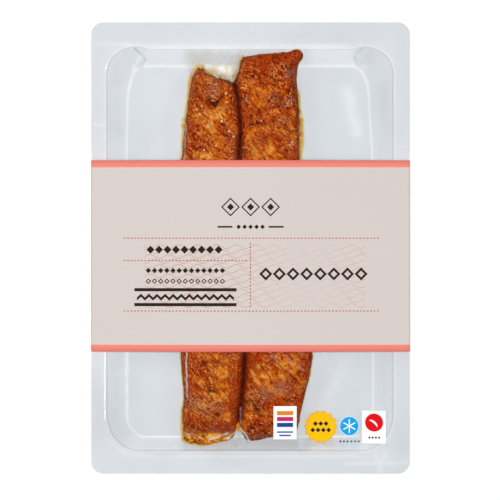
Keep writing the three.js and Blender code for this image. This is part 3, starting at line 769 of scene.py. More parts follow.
def fishValues(fillet, x, y, inside):
    # tone from wide and narrow clouds and the patches; redder and darker close to the fillet's edges, painted
    # shade where the top rounds down into the sides; and painted shade, darker and redder, over a ragged
    # strip beside the seam, which is wider towards the front
    edge = np.exp(-inside / 0.8)
    reach = (1.5 + 0.9 * smooth(-y, 0, 50)) * (1 + 0.5 * cloud(x, y, 5, 153, 2))
    # painted shade in the narrow gap where the two fillets meet
    seamShade = np.exp(-((x - seam(y)) / reach) ** 2)
    # the left fillet is red all along its outer side, about 3 mm in from the edge
    atSide = np.exp(-((x - leftFillet["left"](y) - 3) / 1.3) ** 2) if fillet is leftFillet else 0 * x
    ochre, brown, redSpots, ashAndSheenSpots = (smooth(spots(x, y, patches[kind], 2.6), 0.1, 0.9)
                                        for kind in ("ochre", "brown", "red", "ashAndSheen"))
    tone = (fillet["tone"](y) + 0.2 * cloud(x, y, 9, 31, 2) + 0.13 * cloud(x, y, 2.6, 35, 2) + 0.2 * ochre
            - 0.34 * brown - 0.06 * ashAndSheenSpots - 0.16 * edge - 0.25 * seamShade - 0.2 * atSide)
    # the paste shows redder in the front half, up to the fillets' front ends
    red = (0.45 + 0.5 * smooth(-y, 0, 40) - 0.3 * smooth(-y, 72, 80) + 0.7 * cloud(x, y, 7, 41, 2)
           + 1.2 * redSpots + 0.4 * edge + 0.6 * seamShade + 0.45 * atSide - 0.9 * ochre)
    # mauve grey: dried paste in random clouds, and in the listed spots also the film's soft sheen, painted in
    ashAndSheen = 0.35 * np.maximum(cloud(x, y, 6, 45, 2), 0) + 0.95 * ashAndSheenSpots
    # how thick the crust lies: thin on the pale flesh and at the front, thick in the dark patches
    crust = (0.55 + 0.15 * smooth(y, -40, 40) + 0.7 * cloud(x, y, 6.5, 57, 2) - 0.45 * ochre
             + 0.4 * np.maximum(brown, ashAndSheenSpots) - 0.4 * seamShade)
    # darker where the paste is stained and in random clouds, with painted shade in the cuts, hollows and
    # beside the seam
    darkAndShade = (np.maximum(0.85 * lines(x, y, flesh["cuts"], 0.9), lines(x, y, flesh["stains"]))
            + 0.8 * spots(x, y, flesh["hollows"]) + 0.6 * np.maximum(cloud(x, y, 1.5, 51, 2) - 0.35, 0)
            + 0.5 * seamShade)
    # painted highlight: a pale rim along the upper side of each cut
    pale = 0.85 * lines(x - 0.35, y - 0.5, flesh["cuts"], 0.9)
    # the thin fat flap at the left fillet's front end
    flap = 1 / (1 + np.exp((y + 87.3 + 0.8 * cloud(x, y, 3, 55, 2)) / 0.3)) if fillet is leftFillet else 0 * x
    # painted glints, where the lamps catch bubbles under the film
    paintedGlint = 0.8 * smooth(spots(x, y, patches["paintedGlints"], 0.4), 0.3, 0.8)
    darkAndShade = darkAndShade * (1 - 0.8 * flap) + spots(x, y, flesh["granules"], 0.4) * flap
    return {"tone": tone, "red": np.clip(red, 0, 1.6), "ashAndSheen": np.clip(ashAndSheen, 0, 1),
            "crust": np.clip(crust, 0.25, 1), "pale": pale * (1 - flap), "darkAndShade": np.clip(darkAndShade, 0, 0.9),
            "paintedGlint": paintedGlint, "amber": np.clip(flap, 0, 1)}


def makeFillet(fillet):
    # a grid of s across and t along. Its outer rows and columns go down the sides, and the rest is the top.
    # The steps are short where the fish shows and long under the card
    edge = np.array(flesh["edgeSteps"])
    width, length = usual["width"], usual["length"]
    acrossAt = np.concatenate([edge, stretch((3.3, 24.7, 108)), width - edge[::-1]]) / width
    middle = stretch((3.3, 43, 140), (43, 131, 44), (131, 174.7, 152))
    alongAt = np.concatenate([edge, middle, length - edge[::-1]]) / length
    down = np.array(flesh["wallSteps"])
    wall = len(down)
    S, T = np.meshgrid(*(np.concatenate([np.zeros(wall), v, np.ones(wall)]) for v in (acrossAt, alongAt)))
    downX, downY = np.meshgrid(*(np.concatenate([down, 0 * v, down[::-1]]) for v in (acrossAt, alongAt)))
    fall = np.maximum(downX, downY)
    front, back = fillet["front"](S), fillet["back"](S)
    y = front + (back - front) * T
    width = fillet["right"](y) - fillet["left"](y)
    x = fillet["left"](y) + width * S
    inside = np.minimum(np.minimum(S, 1 - S) * width, np.minimum(T, 1 - T) * (back - front))
    top = filletTop(fillet, x, y, S, inside, trayHeightAlong(y) + flesh["overTray"])
    # the sides swell a little, then lean in towards the base, and are ragged
    swell = 0.5 * np.sin(np.pi * fall) - flesh["baseInset"] * fall
    out = swell + 0.45 * cloud(x + 9 * fall, y + 7 * fall, 1.8, 65, 2)
    x = x + out * np.where(downX > 0, np.sign(S - 0.5), 0)
    y = y + out * np.where(downY > 0, np.sign(T - 0.5), 0)
    z = top + (trayHeightAlong(y) + flesh["overTray"] - top) * fall
    # the underside joins the two long edges, with one wide face at each end
    rows, columns = S.shape
    at = np.arange(rows * columns).reshape(rows, columns)
    left, right = at[:, 0], at[:, -1]
    under = np.stack([left[1:-2], left[2:-1], right[2:-1], right[1:-2]], 1)
    ends = [np.concatenate([at[0, ::-1], [left[1], right[1]]]),
            np.concatenate([at[-1], [right[-2], left[-2]]])]
    values = fishValues(fillet, x, y, inside)
    # painted shade: the sides darker towards their base
    values["darkAndShade"] = np.clip(values["darkAndShade"] + 0.2 * fall, 0, 1)
    quads = np.concatenate([gridQuads(rows, columns), under])
    return newPiece(fillet["name"] + "_flesh", np.stack([x, y, z], -1), quads, [fishMaterial],
                    fillet["name"], polygons=ends, values=values)


makeFillet(leftFillet)
makeFillet(rightFillet)
print("stage: fillets")

# tray and film

sheets = {
    "trayLevels": stretch((-0.1, 0.16, 18), (0.16, 0.84, 6), (0.84, 1.2, 24)),
    "filmLevels": stretch((-0.07, 0.2, 10), (0.2, 0.86, 21), (0.86, 1.2, 14)),
    "innerLevel": -0.1,
    "trayFlange": [0.35, 0.7, 0.93, 1.0],
    "filmFlange": np.linspace(0.1, 1, 12),
    # lines and bands of painted highlights and painted shade that the bends draw in the plastic, where they
    # gather or spread light: level, width in levels, share
    "trayHighlights": [(0.04, 0.055, 0.95), (1.04, 0.036, 1.0), (1.17, 0.035, 0.5)],
    "trayShade": [(0.97, 0.022, 0.3), (0.5, 0.36, 0.05)],
    "flangeWhite": 0.14,
    "atBack": {"white": 1, "greyAndShade": 0.4},  # what is left of those lines along the back
    # the card squeezes the flange's edges in by this much, over this window along Y
    "squeeze": 0.55, "squeezed": ((-49.6, -48.4), (42.1, 40.9)),
}
filmColumns = stretch((0, 0.1, 3), (0.1, 0.34, 18), (0.34, 0.5, 4), (0.5, 0.8, 8), (0.8, 1.3, 38),
                      (1.3, 1.7, 26), (1.7, 2.3, 42), (2.3, 2.7, 28), (2.7, 3.25, 40), (3.25, 3.66, 10),
                      (3.66, 3.88, 16), (3.88, 4, 6))
filmRows = stretch((-89, -46, 88), (-46, 38, 10), (38, 85.6, 98))
trayColumns = stretch((0, 0.1, 6), (0.1, 3.9, 90), (3.9, 4, 6))
trayRows = stretch((-89, -77, 16), (-77, 69, 90), (69, 85.6, 20))


def pointIn(box, quarter, row):
    # the layout stretched over a rounded box; whole quarters lie on the fillets' edges and the seam
    y = box[2] + (box[3] - box[2]) * (row - floorBox[2]) / (floorBox[3] - floorBox[2])
    left, right = boxSides(box, y)
    knots = np.stack([left, leftFillet["left"](y), seam(y), rightFillet["right"](y), right])
    k = np.minimum(np.floor(quarter).astype(int), 3)
    low = np.take_along_axis(knots, k[None], 0)[0]
    high = np.take_along_axis(knots, k[None] + 1, 0)[0]
    return roundCorners(low + (high - low) * (quarter - k), y, box)


def ringPoint(quarter, row, level):
    # the layout at one level of the wall, its last row drawn in like the back wall
    x, y = pointIn(floorBox + (rimBox - floorBox) * level, quarter, row)
    return x, y - np.where(row >= floorBox[3] - 1e-6, backPull(x, level), 0)


def ringLines(level, row, table, atBack):
    # sum of share * exp(-((level - middle) / width)^2), half as wide again along the back, and scaled there
    wide = 1 + 0.5 * smooth(row, floorBox[3] - 3, floorBox[3])
    scale = 1 + (atBack - 1) * smooth(row, 68, 80)
    return scale * sum(share * np.exp(-((level - middle) / width / wide) ** 2)
                       for middle, width, share in table)


def flangePlaces(quarter, row, steps):
    # rings that go from just outside the rim to the flange's edge, whose long sides the card squeezes in
    inner = np.stack(ringPoint(quarter, row, 1.2))
    outer = np.stack(pointIn(flangeBox, quarter, row))
    underCard = window(outer[1], *sheets["squeezed"])
    isSide = np.abs(outer[0]) > 60
    outer[0] -= np.sign(outer[0]) * (sheets["squeeze"] * underCard * isSide)
    return [inner + (outer - inner) * share for share in steps]


def makeTray():
    # rings from the floor up the wall and out over the flange, above and below, and two flat floors
    quarter, row = (g.ravel() for g in np.meshgrid(trayColumns, trayRows))
    loop = gridLoop(len(trayRows), len(trayColumns))
    quarter, row = quarter[loop], row[loop]
    levels = sheets["trayLevels"]
    rings = [np.stack([*ringPoint(quarter, row, level), trayHeight(level) + 0 * row]) for level in levels]
    flangeRings = flangePlaces(quarter, row, sheets["trayFlange"])
    rings += [np.stack([*place, flangeTop + 0 * row]) for place in flangeRings]
    size, count = len(loop), len(rings)
    plain = np.ones((len(flangeRings), size))
    drawn = {}
    # painted highlights and painted shade along the bends, and a little more light let through over the whole
    # flange
    for key, table, flange in (("white", "trayHighlights", sheets["flangeWhite"]), ("greyAndShade", "trayShade", 0)):
        wallPart = [ringLines(level, row, sheets[table], sheets["atBack"][key]) for level in levels]
        drawn[key] = np.tile(np.concatenate([wallPart, plain * flange]), (2, 1))
    flat, wall = tray["plastic"]
    thick = np.interp(np.arange(count), [0, 12, len(levels) - 12, count - 1], [flat, wall, wall, flat])
    above = np.stack(rings).transpose(0, 2, 1)
    below = above - np.stack([0 * thick, 0 * thick, thick], 1)[:, None, :]
    at = np.arange(2 * count * size).reshape(2, count, size)
    quads = [shellQuads(at[0]), shellQuads(at[1])[:, ::-1], bandQuads(at[0, -1], at[1, -1])]
    points = np.concatenate([above.reshape(-1, 3), below.reshape(-1, 3)])
    return newPiece("tray_clear", points, np.concatenate(quads), [trayPlastic], "tray",
                    polygons=[at[0, 0], at[1, 0][::-1]], values=drawn)


def creamShare(x, y):
    # milky juice under the film behind the left fillet's end, fading up the tray's wall, and how yellow it
    # is: most so at the fish and at the top of the film's tent
    tentTop = np.exp(-((x + 5.6) ** 2 + (y + 84.6) ** 2) / 2.6)
    beyond = y - leftFillet["back"](np.clip((x + 27) / 20, 0, 1))
    wavy = y + 2 * cloud(x, y, 4, 137, 3)
    toRight = rightFillet["left"](y) - x
    zone = smooth(beyond, 0, 0.8) * smooth(x + 3 * cloud(x, y, 5, 139), -33, -25) * smooth(toRight, -0.3, 0.6)
    close = np.exp(-np.maximum(beyond, 0) / 1.4)
    depth = 0.18 * smooth(-wavy, -94, -90.5) + 0.45 * smooth(-wavy, -88.5, -84.6) + 0.3 * close
    butter = zone * (1.3 * close + 1.1 * np.exp(-np.maximum(toRight, 0) / 1.6)
                     + 0.7 * cloud(x, y, 2.2, 131, 2) + 0.4 * smooth(-x, 18, 25))
    butter = butter + 0.4 * smooth(-y, 82, 84) + 0.8 * tentTop
    return zone * depth * (1 + 0.35 * cloud(x, y, 1.5, 133, 2)), np.clip(butter, 0, 1)


def makeFilm():
    # a grid over the floor and rings outside it; its height is the bare tray's plus the drawn film's lift
    quarter, row = (g.ravel() for g in np.meshgrid(filmColumns, filmRows))
    loop = gridLoop(len(filmRows), len(filmColumns))
    q, r = quarter[loop], row[loop]
    parts = [(*ringPoint(quarter, row, sheets["innerLevel"]), trayHeight(sheets["innerLevel"]))]
    parts += [(*ringPoint(q, r, level), trayHeight(level)) for level in sheets["filmLevels"]]
    parts += [(*place, flangeTop) for place in flangePlaces(q, r, sheets["filmFlange"])]
    points = np.concatenate([np.stack([x, y, height + film["gap"] + liftAt(x, y, filmLift)], 1)
                             for x, y, height in parts])
    rings = [loop] + [len(quarter) + k * len(loop) + np.arange(len(loop)) for k in range(len(parts) - 1)]
    quads = [gridQuads(len(filmRows), len(filmColumns)), shellQuads(rings)]
    x, y = points[:, 0], points[:, 1]
    cream, butter = creamShare(x, y)
    strokes = lines(x, y, film["milkAndHighlights"], 0.4) * np.clip(0.85 + 0.6 * cloud(x, y, 2.2, 145, 2), 0.2, 1.2)
    paintedHighlights = lines(x, y, film["paintedHighlights"], 0.4) * np.clip(0.9 + 0.6 * cloud(x, y, 5, 147, 2), 0.3, 1.3)
    # greyer in random clouds; painted shade along the creases and beside the tent's ridges; greyer towards
    # the right, at the far left and over the front, and less grey over the right wall
    greyAndShade = (np.clip(0.12 * cloud(x, y, 14, 141, 3), 0, 1) + lines(x, y, film["darkAndShade"], 0.3)
            + 0.06 * smooth(x, 10, 45) - 0.04 * window(x, (57, 60), (69, 66)) + 0.04 * smooth(-x, 35, 60)
            + 0.06 * window(y, (-45, -85), (-97, -93)))
    # painted light: the film lets more light through over the front and back walls beside the fish, lifting
    # the shade on those walls
    toLeft, toRight = smooth(-x, 30, 34), smooth(x, 26, 30)
    frontPart = window(y, (-88.3, -89.4), (-95.8, -94.9)) * window(x, (-62, -54), (60, 52))
    backPart = window(y, (85.4, 86.6), (94.3, 93.3)) * window(x, (-52, -47), (52, 46))
    paintedWallLight = 0.85 * frontPart * (toLeft + toRight) + backPart * (0.75 * toLeft + toRight)
    return newPiece("film_clear", points, np.concatenate(quads), [filmPlastic], "film",
                    values={"milkAndHighlightShare": np.maximum(strokes, cream), "butter": butter,
                            "white": np.clip(paintedHighlights + paintedWallLight, 0, 1), "greyAndShade": np.clip(greyAndShade, 0, 1)})


makeTray()
makeFilm()
print("stage: tray and film")

# oil and juice round the fillets

oil = {
    "rings": 7, "sideSteps": 400, "frontSteps": 80, "backSteps": 120, "smoothing": 6,
    "under": -0.8,  # where it starts, under the fish
    "height": 0.7,  # how high it stands there
    "overTray": 0.04,
}
jelly = {
    "front": -86.5, "back": 82.0, "halfWidth": 1.5, "rows": 220, "columns": 7,
    "below": 3.6,  # how far under the fillets' crests it lies
    "thinRaised": 1.6,  # how much higher where it is thin
    "hollow": 0.5,
}


def spicedOil():
    # oil and juice pressed out of the fish: clear yellow where thin, amber to brown where deep, and curdled
    # in clots of about 1.4 mm
    made, tree = newMaterial("spiced_oil")
    place = node(tree, "TexCoord").outputs["Object"]
    depth = node(tree, "Attribute", attribute_name="depth").outputs["Fac"]
    curdle = node(tree, "TexNoise", {"Vector": place, "Scale": 0.7 / mm, "Detail": 3})
    swing = node(tree, "Math", {0: curdle, 1: -0.5}, operation="ADD")
    deep = node(tree, "Math", {0: swing, 1: 0.5, 2: depth}, operation="MULTIPLY_ADD")
    tint = node(tree, "ValToRGB", {"Fac": deep}, ramp=[
        (0.0, "#FFFFFC"), (0.16, "#FFF8DC"), (0.36, "#FBEAAE"), (0.6, "#F6CE78"), (0.82, "#E2A04C"),
        (1.0, "#A8602A")])
    through = node(tree, "BsdfTransparent", {"Color": tint})
    gloss = node(tree, "BsdfGlossy", {"Color": (1, 1, 1, 1), "Roughness": 0.12})
    both = node(tree, "MixShader", {0: glossShare(tree, 0.02, 0.6, 7.0), 1: through, 2: gloss})
    node(tree, "OutputMaterial", {"Surface": both})
    return made


def seamJelly():
    # juice set to a jelly between the two fillets: smooth, and amber at the front end, where it is thin.
    # Its deep red brown, close to black, is partly painted shade of the narrow gap between the fillets
    made, tree = newMaterial("set_fish_juice_with_painted_shade")
    place = node(tree, "TexCoord").outputs["Object"]
    thin = node(tree, "Attribute", attribute_name="thin").outputs["Fac"]
    clots = node(tree, "TexNoise", {"Vector": place, "Scale": 1 / (1.7 * mm), "Detail": 2.0})
    deep = node(tree, "ValToRGB", {"Fac": clots}, ramp=[(0.35, "#2C0903"), (0.65, "#661906")])
    colour = node(tree, "MixRGB", {"Fac": thin, "Color1": deep, "Color2": linear("#E88A1E")})
    shade = node(tree, "BsdfPrincipled", {"Base Color": colour, "Roughness": 0.4, "IOR": 1.25})
    node(tree, "OutputMaterial", {"Surface": shade})
    return made


oilMaterial = spicedOil()


def makeOil(fillet, name, widths):
    # a band round the fillet's outline: it starts under the fish and thins to nothing at a ragged edge
    def acrossEnd(end, shares):
        y = fillet[end](shares)
        return np.stack([fillet["left"](y) + (fillet["right"](y) - fillet["left"](y)) * shares, y], 1)

    def alongSide(side, start, end):
        y = np.linspace(start, end, oil["sideSteps"], endpoint=False)
        return np.stack([fillet[side](y), y], 1)
    outline = np.concatenate([
        acrossEnd("front", np.linspace(0, 1, oil["frontSteps"], endpoint=False)),
        alongSide("right", fillet["front"](1), fillet["back"](1)),
        acrossEnd("back", np.linspace(1, 0, oil["backSteps"], endpoint=False)),
        alongSide("left", fillet["back"](0), fillet["front"](0))])
    outline = softened(outline, oil["smoothing"])
    normal = outwards(outline)
    x, y = outline.T
    ragged = 0.9 + 0.5 * cloud(x, y, 6, 101, 2) + 0.25 * cloud(x, y, 1.3, 105, 2)
    reach = np.maximum(widths(x, y) * ragged, 0.05)
    v = np.linspace(0, 1, oil["rings"])[:, None]
    away = oil["under"] + (reach - oil["under"]) * v
    px, py = x + normal[:, 0] * away, y + normal[:, 1] * away
    pz = trayHeightAlong(py) + oil["overTray"] + oil["height"] * (1 - v) ** 1.3 * np.clip(reach, 0, 1)
    deep = np.clip(reach / 1.2, 0.3, 1) * (1 - v) ** 0.55 * (0.85 + 0.4 * cloud(px, py, 2, 111, 2))
    quads = shellQuads(np.arange(pz.size).reshape(pz.shape))
    return newPiece(name, np.stack([px, py, pz], -1), quads, [oilMaterial],
                    values={"depth": deep})


def makeJelly():
    # a strip along the seam, a little below the fillets' shoulders, hollow in its middle
    y = np.linspace(jelly["front"], jelly["back"], jelly["rows"])
    across = np.linspace(-1, 1, jelly["columns"])[:, None]
    x = seam(y) + jelly["halfWidth"] * across
    crest = np.minimum(leftFillet["crest"](y), rightFillet["crest"](y))
    thin = smooth(-y, 81.5, 83.5)
    z = (tray["floorTop"] + crest - jelly["below"] + jelly["thinRaised"] * thin
         + jelly["hollow"] * across**2 + 0.25 * cloud(x, y, 2, 151, 2))
    points = np.stack([x, y + 0 * x, z], -1).transpose(1, 0, 2)
    return newPiece("seam_jelly", points, gridQuads(len(y), len(across)), [seamJelly()],
                    values={"thin": np.repeat(thin, len(across))})


# how wide the oil is beside the fillets' outer sides
leftHalo = curveThrough([(-92, 1.2), (-86, 2), (-78, 1.6), (-60, 1.1), (40, 1.8), (60, 2.3), (74, 1.9),
                         (79, 2.3), (84, 2.2)])
rightHalo = curveThrough([(-92, 0.4), (-80, 0.5), (-60, 1.1), (-30, 1.3), (40, 2.4), (60, 2.7), (70, 1.6),
                          (78, 0.7), (84, 0.6), (87, 0.6)])


def leftWidths(x, y):
    # the halo at the outer side, less at the two ends, and a trace along the seam
    return np.where(x < seam(y) - 12, leftHalo(y), np.where(x < seam(y) - 1, 0.8, 0.2))


def rightWidths(x, y):
    # the halo at the outer side, a pool at the back end of the seam, and a trace along the rest of it
    return np.where(x > seam(y) + 2, rightHalo(y), np.where(y > 84.5, 2, 0.2))


makeOil(leftFillet, "oil_left", leftWidths)
makeOil(rightFillet, "oil_right", rightWidths)
makeJelly()
print("stage: oil and jelly")

# card sleeve

sleeve = {
    "front": -48.75, "back": 41.2, "halfWidth": 75.02, "baseHalf": 61.0,
    "edge": 16.9, "top": 23.1, "card": 0.38, "fold": 14.0,
    "round": 640, "rows": 31, "smoothing": 4,
    "stripe": 3.3,
}
inks = {
    "beige": "#CFC6C2", "coral": "#ED8678", "rule": "#B85E50", "pale": "#C9A698", "charcoal": "#2B211F",
    "white": "#FCFCFB", "orange": "#E8842A", "pink": "#C9286A", "navy": "#1D4996", "yellow": "#F7BE12",
    "deepYellow": "#EFAE08", "blue": "#109FE2", "paleBlue": "#C8E6F6", "red": "#E3141C",
}


def cardSection():
    # an arch through named heights, a fold at each side and a flat base, rounded by averaging neighbours
    half, edge, top = sleeve["halfWidth"], sleeve["edge"], sleeve["top"]
    share = [(-half, 0), (-52, 0.4), (-30, 0.84), (-15, 0.97), (-3, 1), (9, 0.97), (25, 0.84), (50, 0.4),
             (half, 0)]
    rise = curveThrough([(x, edge + (top - edge) * k) for x, k in share])
    x = np.linspace(half, -half, 200)
    base = sleeve["baseHalf"]
    below = [(-half, sleeve["fold"]), (-base - 1.2, 0.9), (-base + 1, 0), (base - 1, 0), (base + 1.2, 0.9),
             (half, sleeve["fold"])]
    outline = np.concatenate([np.stack([x, rise(x)], 1), below, [(half, edge)]])
    run = np.concatenate([[0], np.cumsum(np.linalg.norm(np.diff(outline, axis=0), axis=1))])
    even = np.linspace(0, run[-1], sleeve["round"], endpoint=False)
    spaced = np.stack([np.interp(even, run, outline[:, 0]), np.interp(even, run, outline[:, 1])], 1)
    return softened(spaced, sleeve["smoothing"])


section = cardSection()
archPart = section[(section[:, 1] > sleeve["edge"] - 0.5)]
archPart = archPart[np.argsort(archPart[:, 0])]


def cardWave(x, y, z):
    # the arch rises and falls by 0.12 mm in waves of about 38 mm, and the folds and the base stay flat
    return 0.12 * cloud(x, y, 38, 121) * np.clip((z - 15) / 4, 0, 1)


def cardTop(x, y):
    # height of the card's front face
    z = np.interp(x, archPart[:, 0], archPart[:, 1])
    return z + cardWave(x, y, z)


def flatInk(name, colour):
    # offset ink on coated board: flat colour, half gloss, the layer faintly uneven over about 1 mm
    made, tree = newMaterial(name)
    place = node(tree, "TexCoord").outputs["Object"]
    layer = node(tree, "TexNoise", {"Vector": place, "Scale": 0.9 / mm, "Detail": 2})
    tone = node(tree, "MapRange", {"Value": layer, "To Min": 0.97, "To Max": 1.03})
    shaded = node(tree, "MixRGB", {"Fac": 1.0, "Color1": linear(colour), "Color2": tone.outputs[0]},
                  blend_type="MULTIPLY")
    shade = node(tree, "BsdfPrincipled", {"Base Color": shaded, "Roughness": 0.5, "IOR": 1.4})
    node(tree, "OutputMaterial", {"Surface": shade})
    return made


inkNames = list(inks)
inkMaterials = [flatInk("ink_" + name, colour) for name, colour in inks.items()]


def printedCard():
    # carton board with matt printing: flat beige ink and a coral stripe along both edges, mottled and bumpy
    # over about 0.4 mm like pressed pulp
    made, tree = newMaterial("printed_carton_board")
    place = node(tree, "TexCoord").outputs["Object"]
    part = node(tree, "SeparateXYZ", {0: place})
    middle = (sleeve["front"] + sleeve["back"]) / 2 * mm
    half = (sleeve["back"] - sleeve["front"]) / 2 * mm
    fromMiddle = node(tree, "Math", {0: part.outputs["Y"], 1: -middle}, operation="ADD")
    away = node(tree, "Math", {0: fromMiddle}, operation="ABSOLUTE")
    stripe = node(tree, "Math", {0: away, 1: half - sleeve["stripe"] * mm}, operation="GREATER_THAN")
    colour = node(tree, "MixRGB", {"Fac": stripe, "Color1": linear(inks["beige"]),
                                   "Color2": linear(inks["coral"])})
    mottle = node(tree, "TexNoise", {"Vector": place, "Scale": 2.6 / mm, "Detail": 2})
    tone = node(tree, "MapRange", {"Value": mottle, "To Min": 0.975, "To Max": 1.025})
    shaded = node(tree, "MixRGB", {"Fac": 1.0, "Color1": colour, "Color2": tone.outputs[0]},
                  blend_type="MULTIPLY")
    bump = node(tree, "Bump", {"Height": mottle, "Strength": 0.4, "Distance": 0.03 * mm})
    shade = node(tree, "BsdfPrincipled", {"Base Color": shaded, "Roughness": 0.62, "IOR": 1.4,
                                          "Normal": bump})
    node(tree, "OutputMaterial", {"Surface": shade})
    return made


def bareBoard():
    # the unprinted inside and cut edges of carton board: off-white, matt, with faint grey fibres in tufts of
    # about 0.7 mm
    made, tree = newMaterial("bare_carton_board")
    place = node(tree, "TexCoord").outputs["Object"]
    fibres = node(tree, "TexNoise", {"Vector": place, "Scale": 1.5 / mm, "Detail": 3})
    colour = node(tree, "ValToRGB", {"Fac": fibres}, ramp=[(0.3, "#D9D6D0"), (0.7, "#EBE9E4")])
    shade = node(tree, "BsdfPrincipled", {"Base Color": colour, "Roughness": 0.85})
    node(tree, "OutputMaterial", {"Surface": shade})
    return made


def makeSleeve():
    # the section carried along Y, an outer and an inner skin joined at both ends
    y = np.linspace(sleeve["front"], sleeve["back"], sleeve["rows"])
    skins = []
    for skin in (section, section - outwards(section) * sleeve["card"]):
        x, yy = np.meshgrid(skin[:, 0], y)
        z = np.broadcast_to(skin[:, 1], x.shape)
        skins.append(np.stack([x, yy, z + cardWave(x, yy, z)], -1))
    rows, size = len(y), len(section)
    at = np.arange(2 * rows * size).reshape(2, rows, size)
    outerQuads, innerQuads = shellQuads(at[0]), shellQuads(at[1])[:, ::-1]
    edges = np.concatenate([bandQuads(at[1, 0], at[0, 0]), bandQuads(at[0, -1], at[1, -1])])
    kinds = np.concatenate([np.zeros(len(outerQuads)), np.ones(len(innerQuads) + len(edges))])
    points = np.concatenate([s.reshape(-1, 3) for s in skins])
    return newPiece("sleeve_card", points, np.concatenate([outerQuads, innerQuads, edges]),
                    [printedCard(), bareBoard()], "sleeve", kinds=kinds)


makeSleeve()
print("stage: sleeve")

# print: flat shapes laid on the card or on the film


def filmTop(x, y):
    # height of the film, with small bumps bridged
    return trayHeight(levelAt(x, y)) + film["gap"] + liftAt(x, y, smoothLift)


def stickerPlane(cx, cy, width, height):
    # a stiff sticker: the plane closest to the film under it, raised until it clears the film
    u, v = np.meshgrid(np.linspace(-0.5, 0.5, 15) * width, np.linspace(-0.5, 0.5, 15) * height)
    under = filmTop(cx + u, cy + v).ravel()
    sides = np.stack([u.ravel(), v.ravel(), np.ones(u.size)], 1)
    fit = np.linalg.lstsq(sides, under, rcond=None)[0] * signs["tilt"]
    rise = (under - sides @ fit).max()
    return lambda x, y: fit[0] * (x - cx) + fit[1] * (y - cy) + fit[2] + rise


def inkLayer(x, y, height, layer, ink):
    # one grid of places laid on a surface; each further layer lies a little above the last
    x, y = np.asarray(x, float), np.asarray(y, float)
    return np.stack([x, y, height(x, y) + layer], -1), inkNames.index(ink)


def bar(cx, cy, width, height, turn=0.0, steps=(2, 2)):
    # grid of a rectangle, turned about its middle
    u, v = np.meshgrid(np.linspace(-0.5, 0.5, steps[0]) * width, np.linspace(-0.5, 0.5, steps[1]) * height)
    c, s = math.cos(turn), math.sin(turn)
    return cx + u * c - v * s, cy + u * s + v * c


def disc(cx, cy, radius, hole=0.02, sides=64, steps=3, scallop=0.0):
    # grid of rings about a middle: four sides make a lozenge, and scallop waves the edge by that share of
    # the radius, in 14 waves
    turn, away = np.meshgrid(np.linspace(0, 2 * np.pi, sides + 1), np.linspace(radius, hole, steps))
    away = away * (1 + scallop * np.cos(14 * turn))
    return cx + away * np.cos(turn), cy + away * np.sin(turn)


def ribbon(x, y, width):
    # strip of this width along a curve that runs in x
    return np.stack([x, x]), np.stack([y - width / 2, y + width / 2])


def makePrint(name, layers):
    # joins the layers to one mesh, each grid's faces turned upwards
    points, quads, kinds, first = [], [], [], 0
    for grid, ink in layers:
        flatGrid = grid.reshape(-1, 3)
        part = gridQuads(*grid.shape[:2])
        a, b, d = (flatGrid[part[:, k]] for k in (0, 1, 3))
        if np.sum((b - a)[:, 0] * (d - a)[:, 1] - (b - a)[:, 1] * (d - a)[:, 0]) < 0:
            part = part[:, ::-1]
        points.append(flatGrid)
        quads.append(part + first)
        kinds.append(np.full(len(part), ink))
        first += len(flatGrid)
    used, kinds = np.unique(np.concatenate(kinds), return_inverse=True)
    return newPiece(name, np.concatenate(points), np.concatenate(quads), [inkMaterials[k] for k in used],
                    kinds=kinds)


cardPrint = {
    "layer": 0.04,
    "dash": (0.85, 1.63, 0.5),  # length, pitch and width of a dash
    # dashed rules across: y, from, to; and one down: x, from, to
    "across": [(4.6, -59.6, 60.2), (-5.9, -59.6, -2.4), (-29.6, -59.6, 60.2)],
    "down": (-0.1, -27.8, 2.7),
    # a field of fine waves behind the ornaments: from x, to x, wave length, height, line width, spacing
    "waves": (-50.0, 54.0, 9.0, 0.9, 0.32, 2.3),
    "waveRows": (-27.0, 2.6),
    # rows of lozenges: middle x, y, how many, pitch, half size, hole's half size
    "lozenges": [(0, 19.2, 3, 9.4, 4.4, 3.6), (0, 19.2, 3, 9.4, 1.7, 0.01), (0, 9.9, 5, 2.8, 1.1, 0.01),
                 (-31.0, -0.8, 9, 4.0, 1.9, 0.01), (-30.6, -10.6, 13, 2.9, 1.3, 0.01),
                 (-30.6, -15.6, 13, 2.9, 1.3, 0.7), (29.5, -12.2, 8, 6.4, 3.1, 1.6)],
    # bars: middle x, y, width, height
    "bars": [(-12.0, 9.9, 7.0, 0.8), (12.0, 9.9, 7.0, 0.8), (-30.6, -19.6, 48.0, 1.5),
             (-30.6, -26.6, 48.0, 1.5)],
    # a zigzag band: from x, to x, middle y, pitch, half height, line width
    "zigzag": (-53.4, -7.8, -23.1, 3.8, 1.5, 1.5),
}


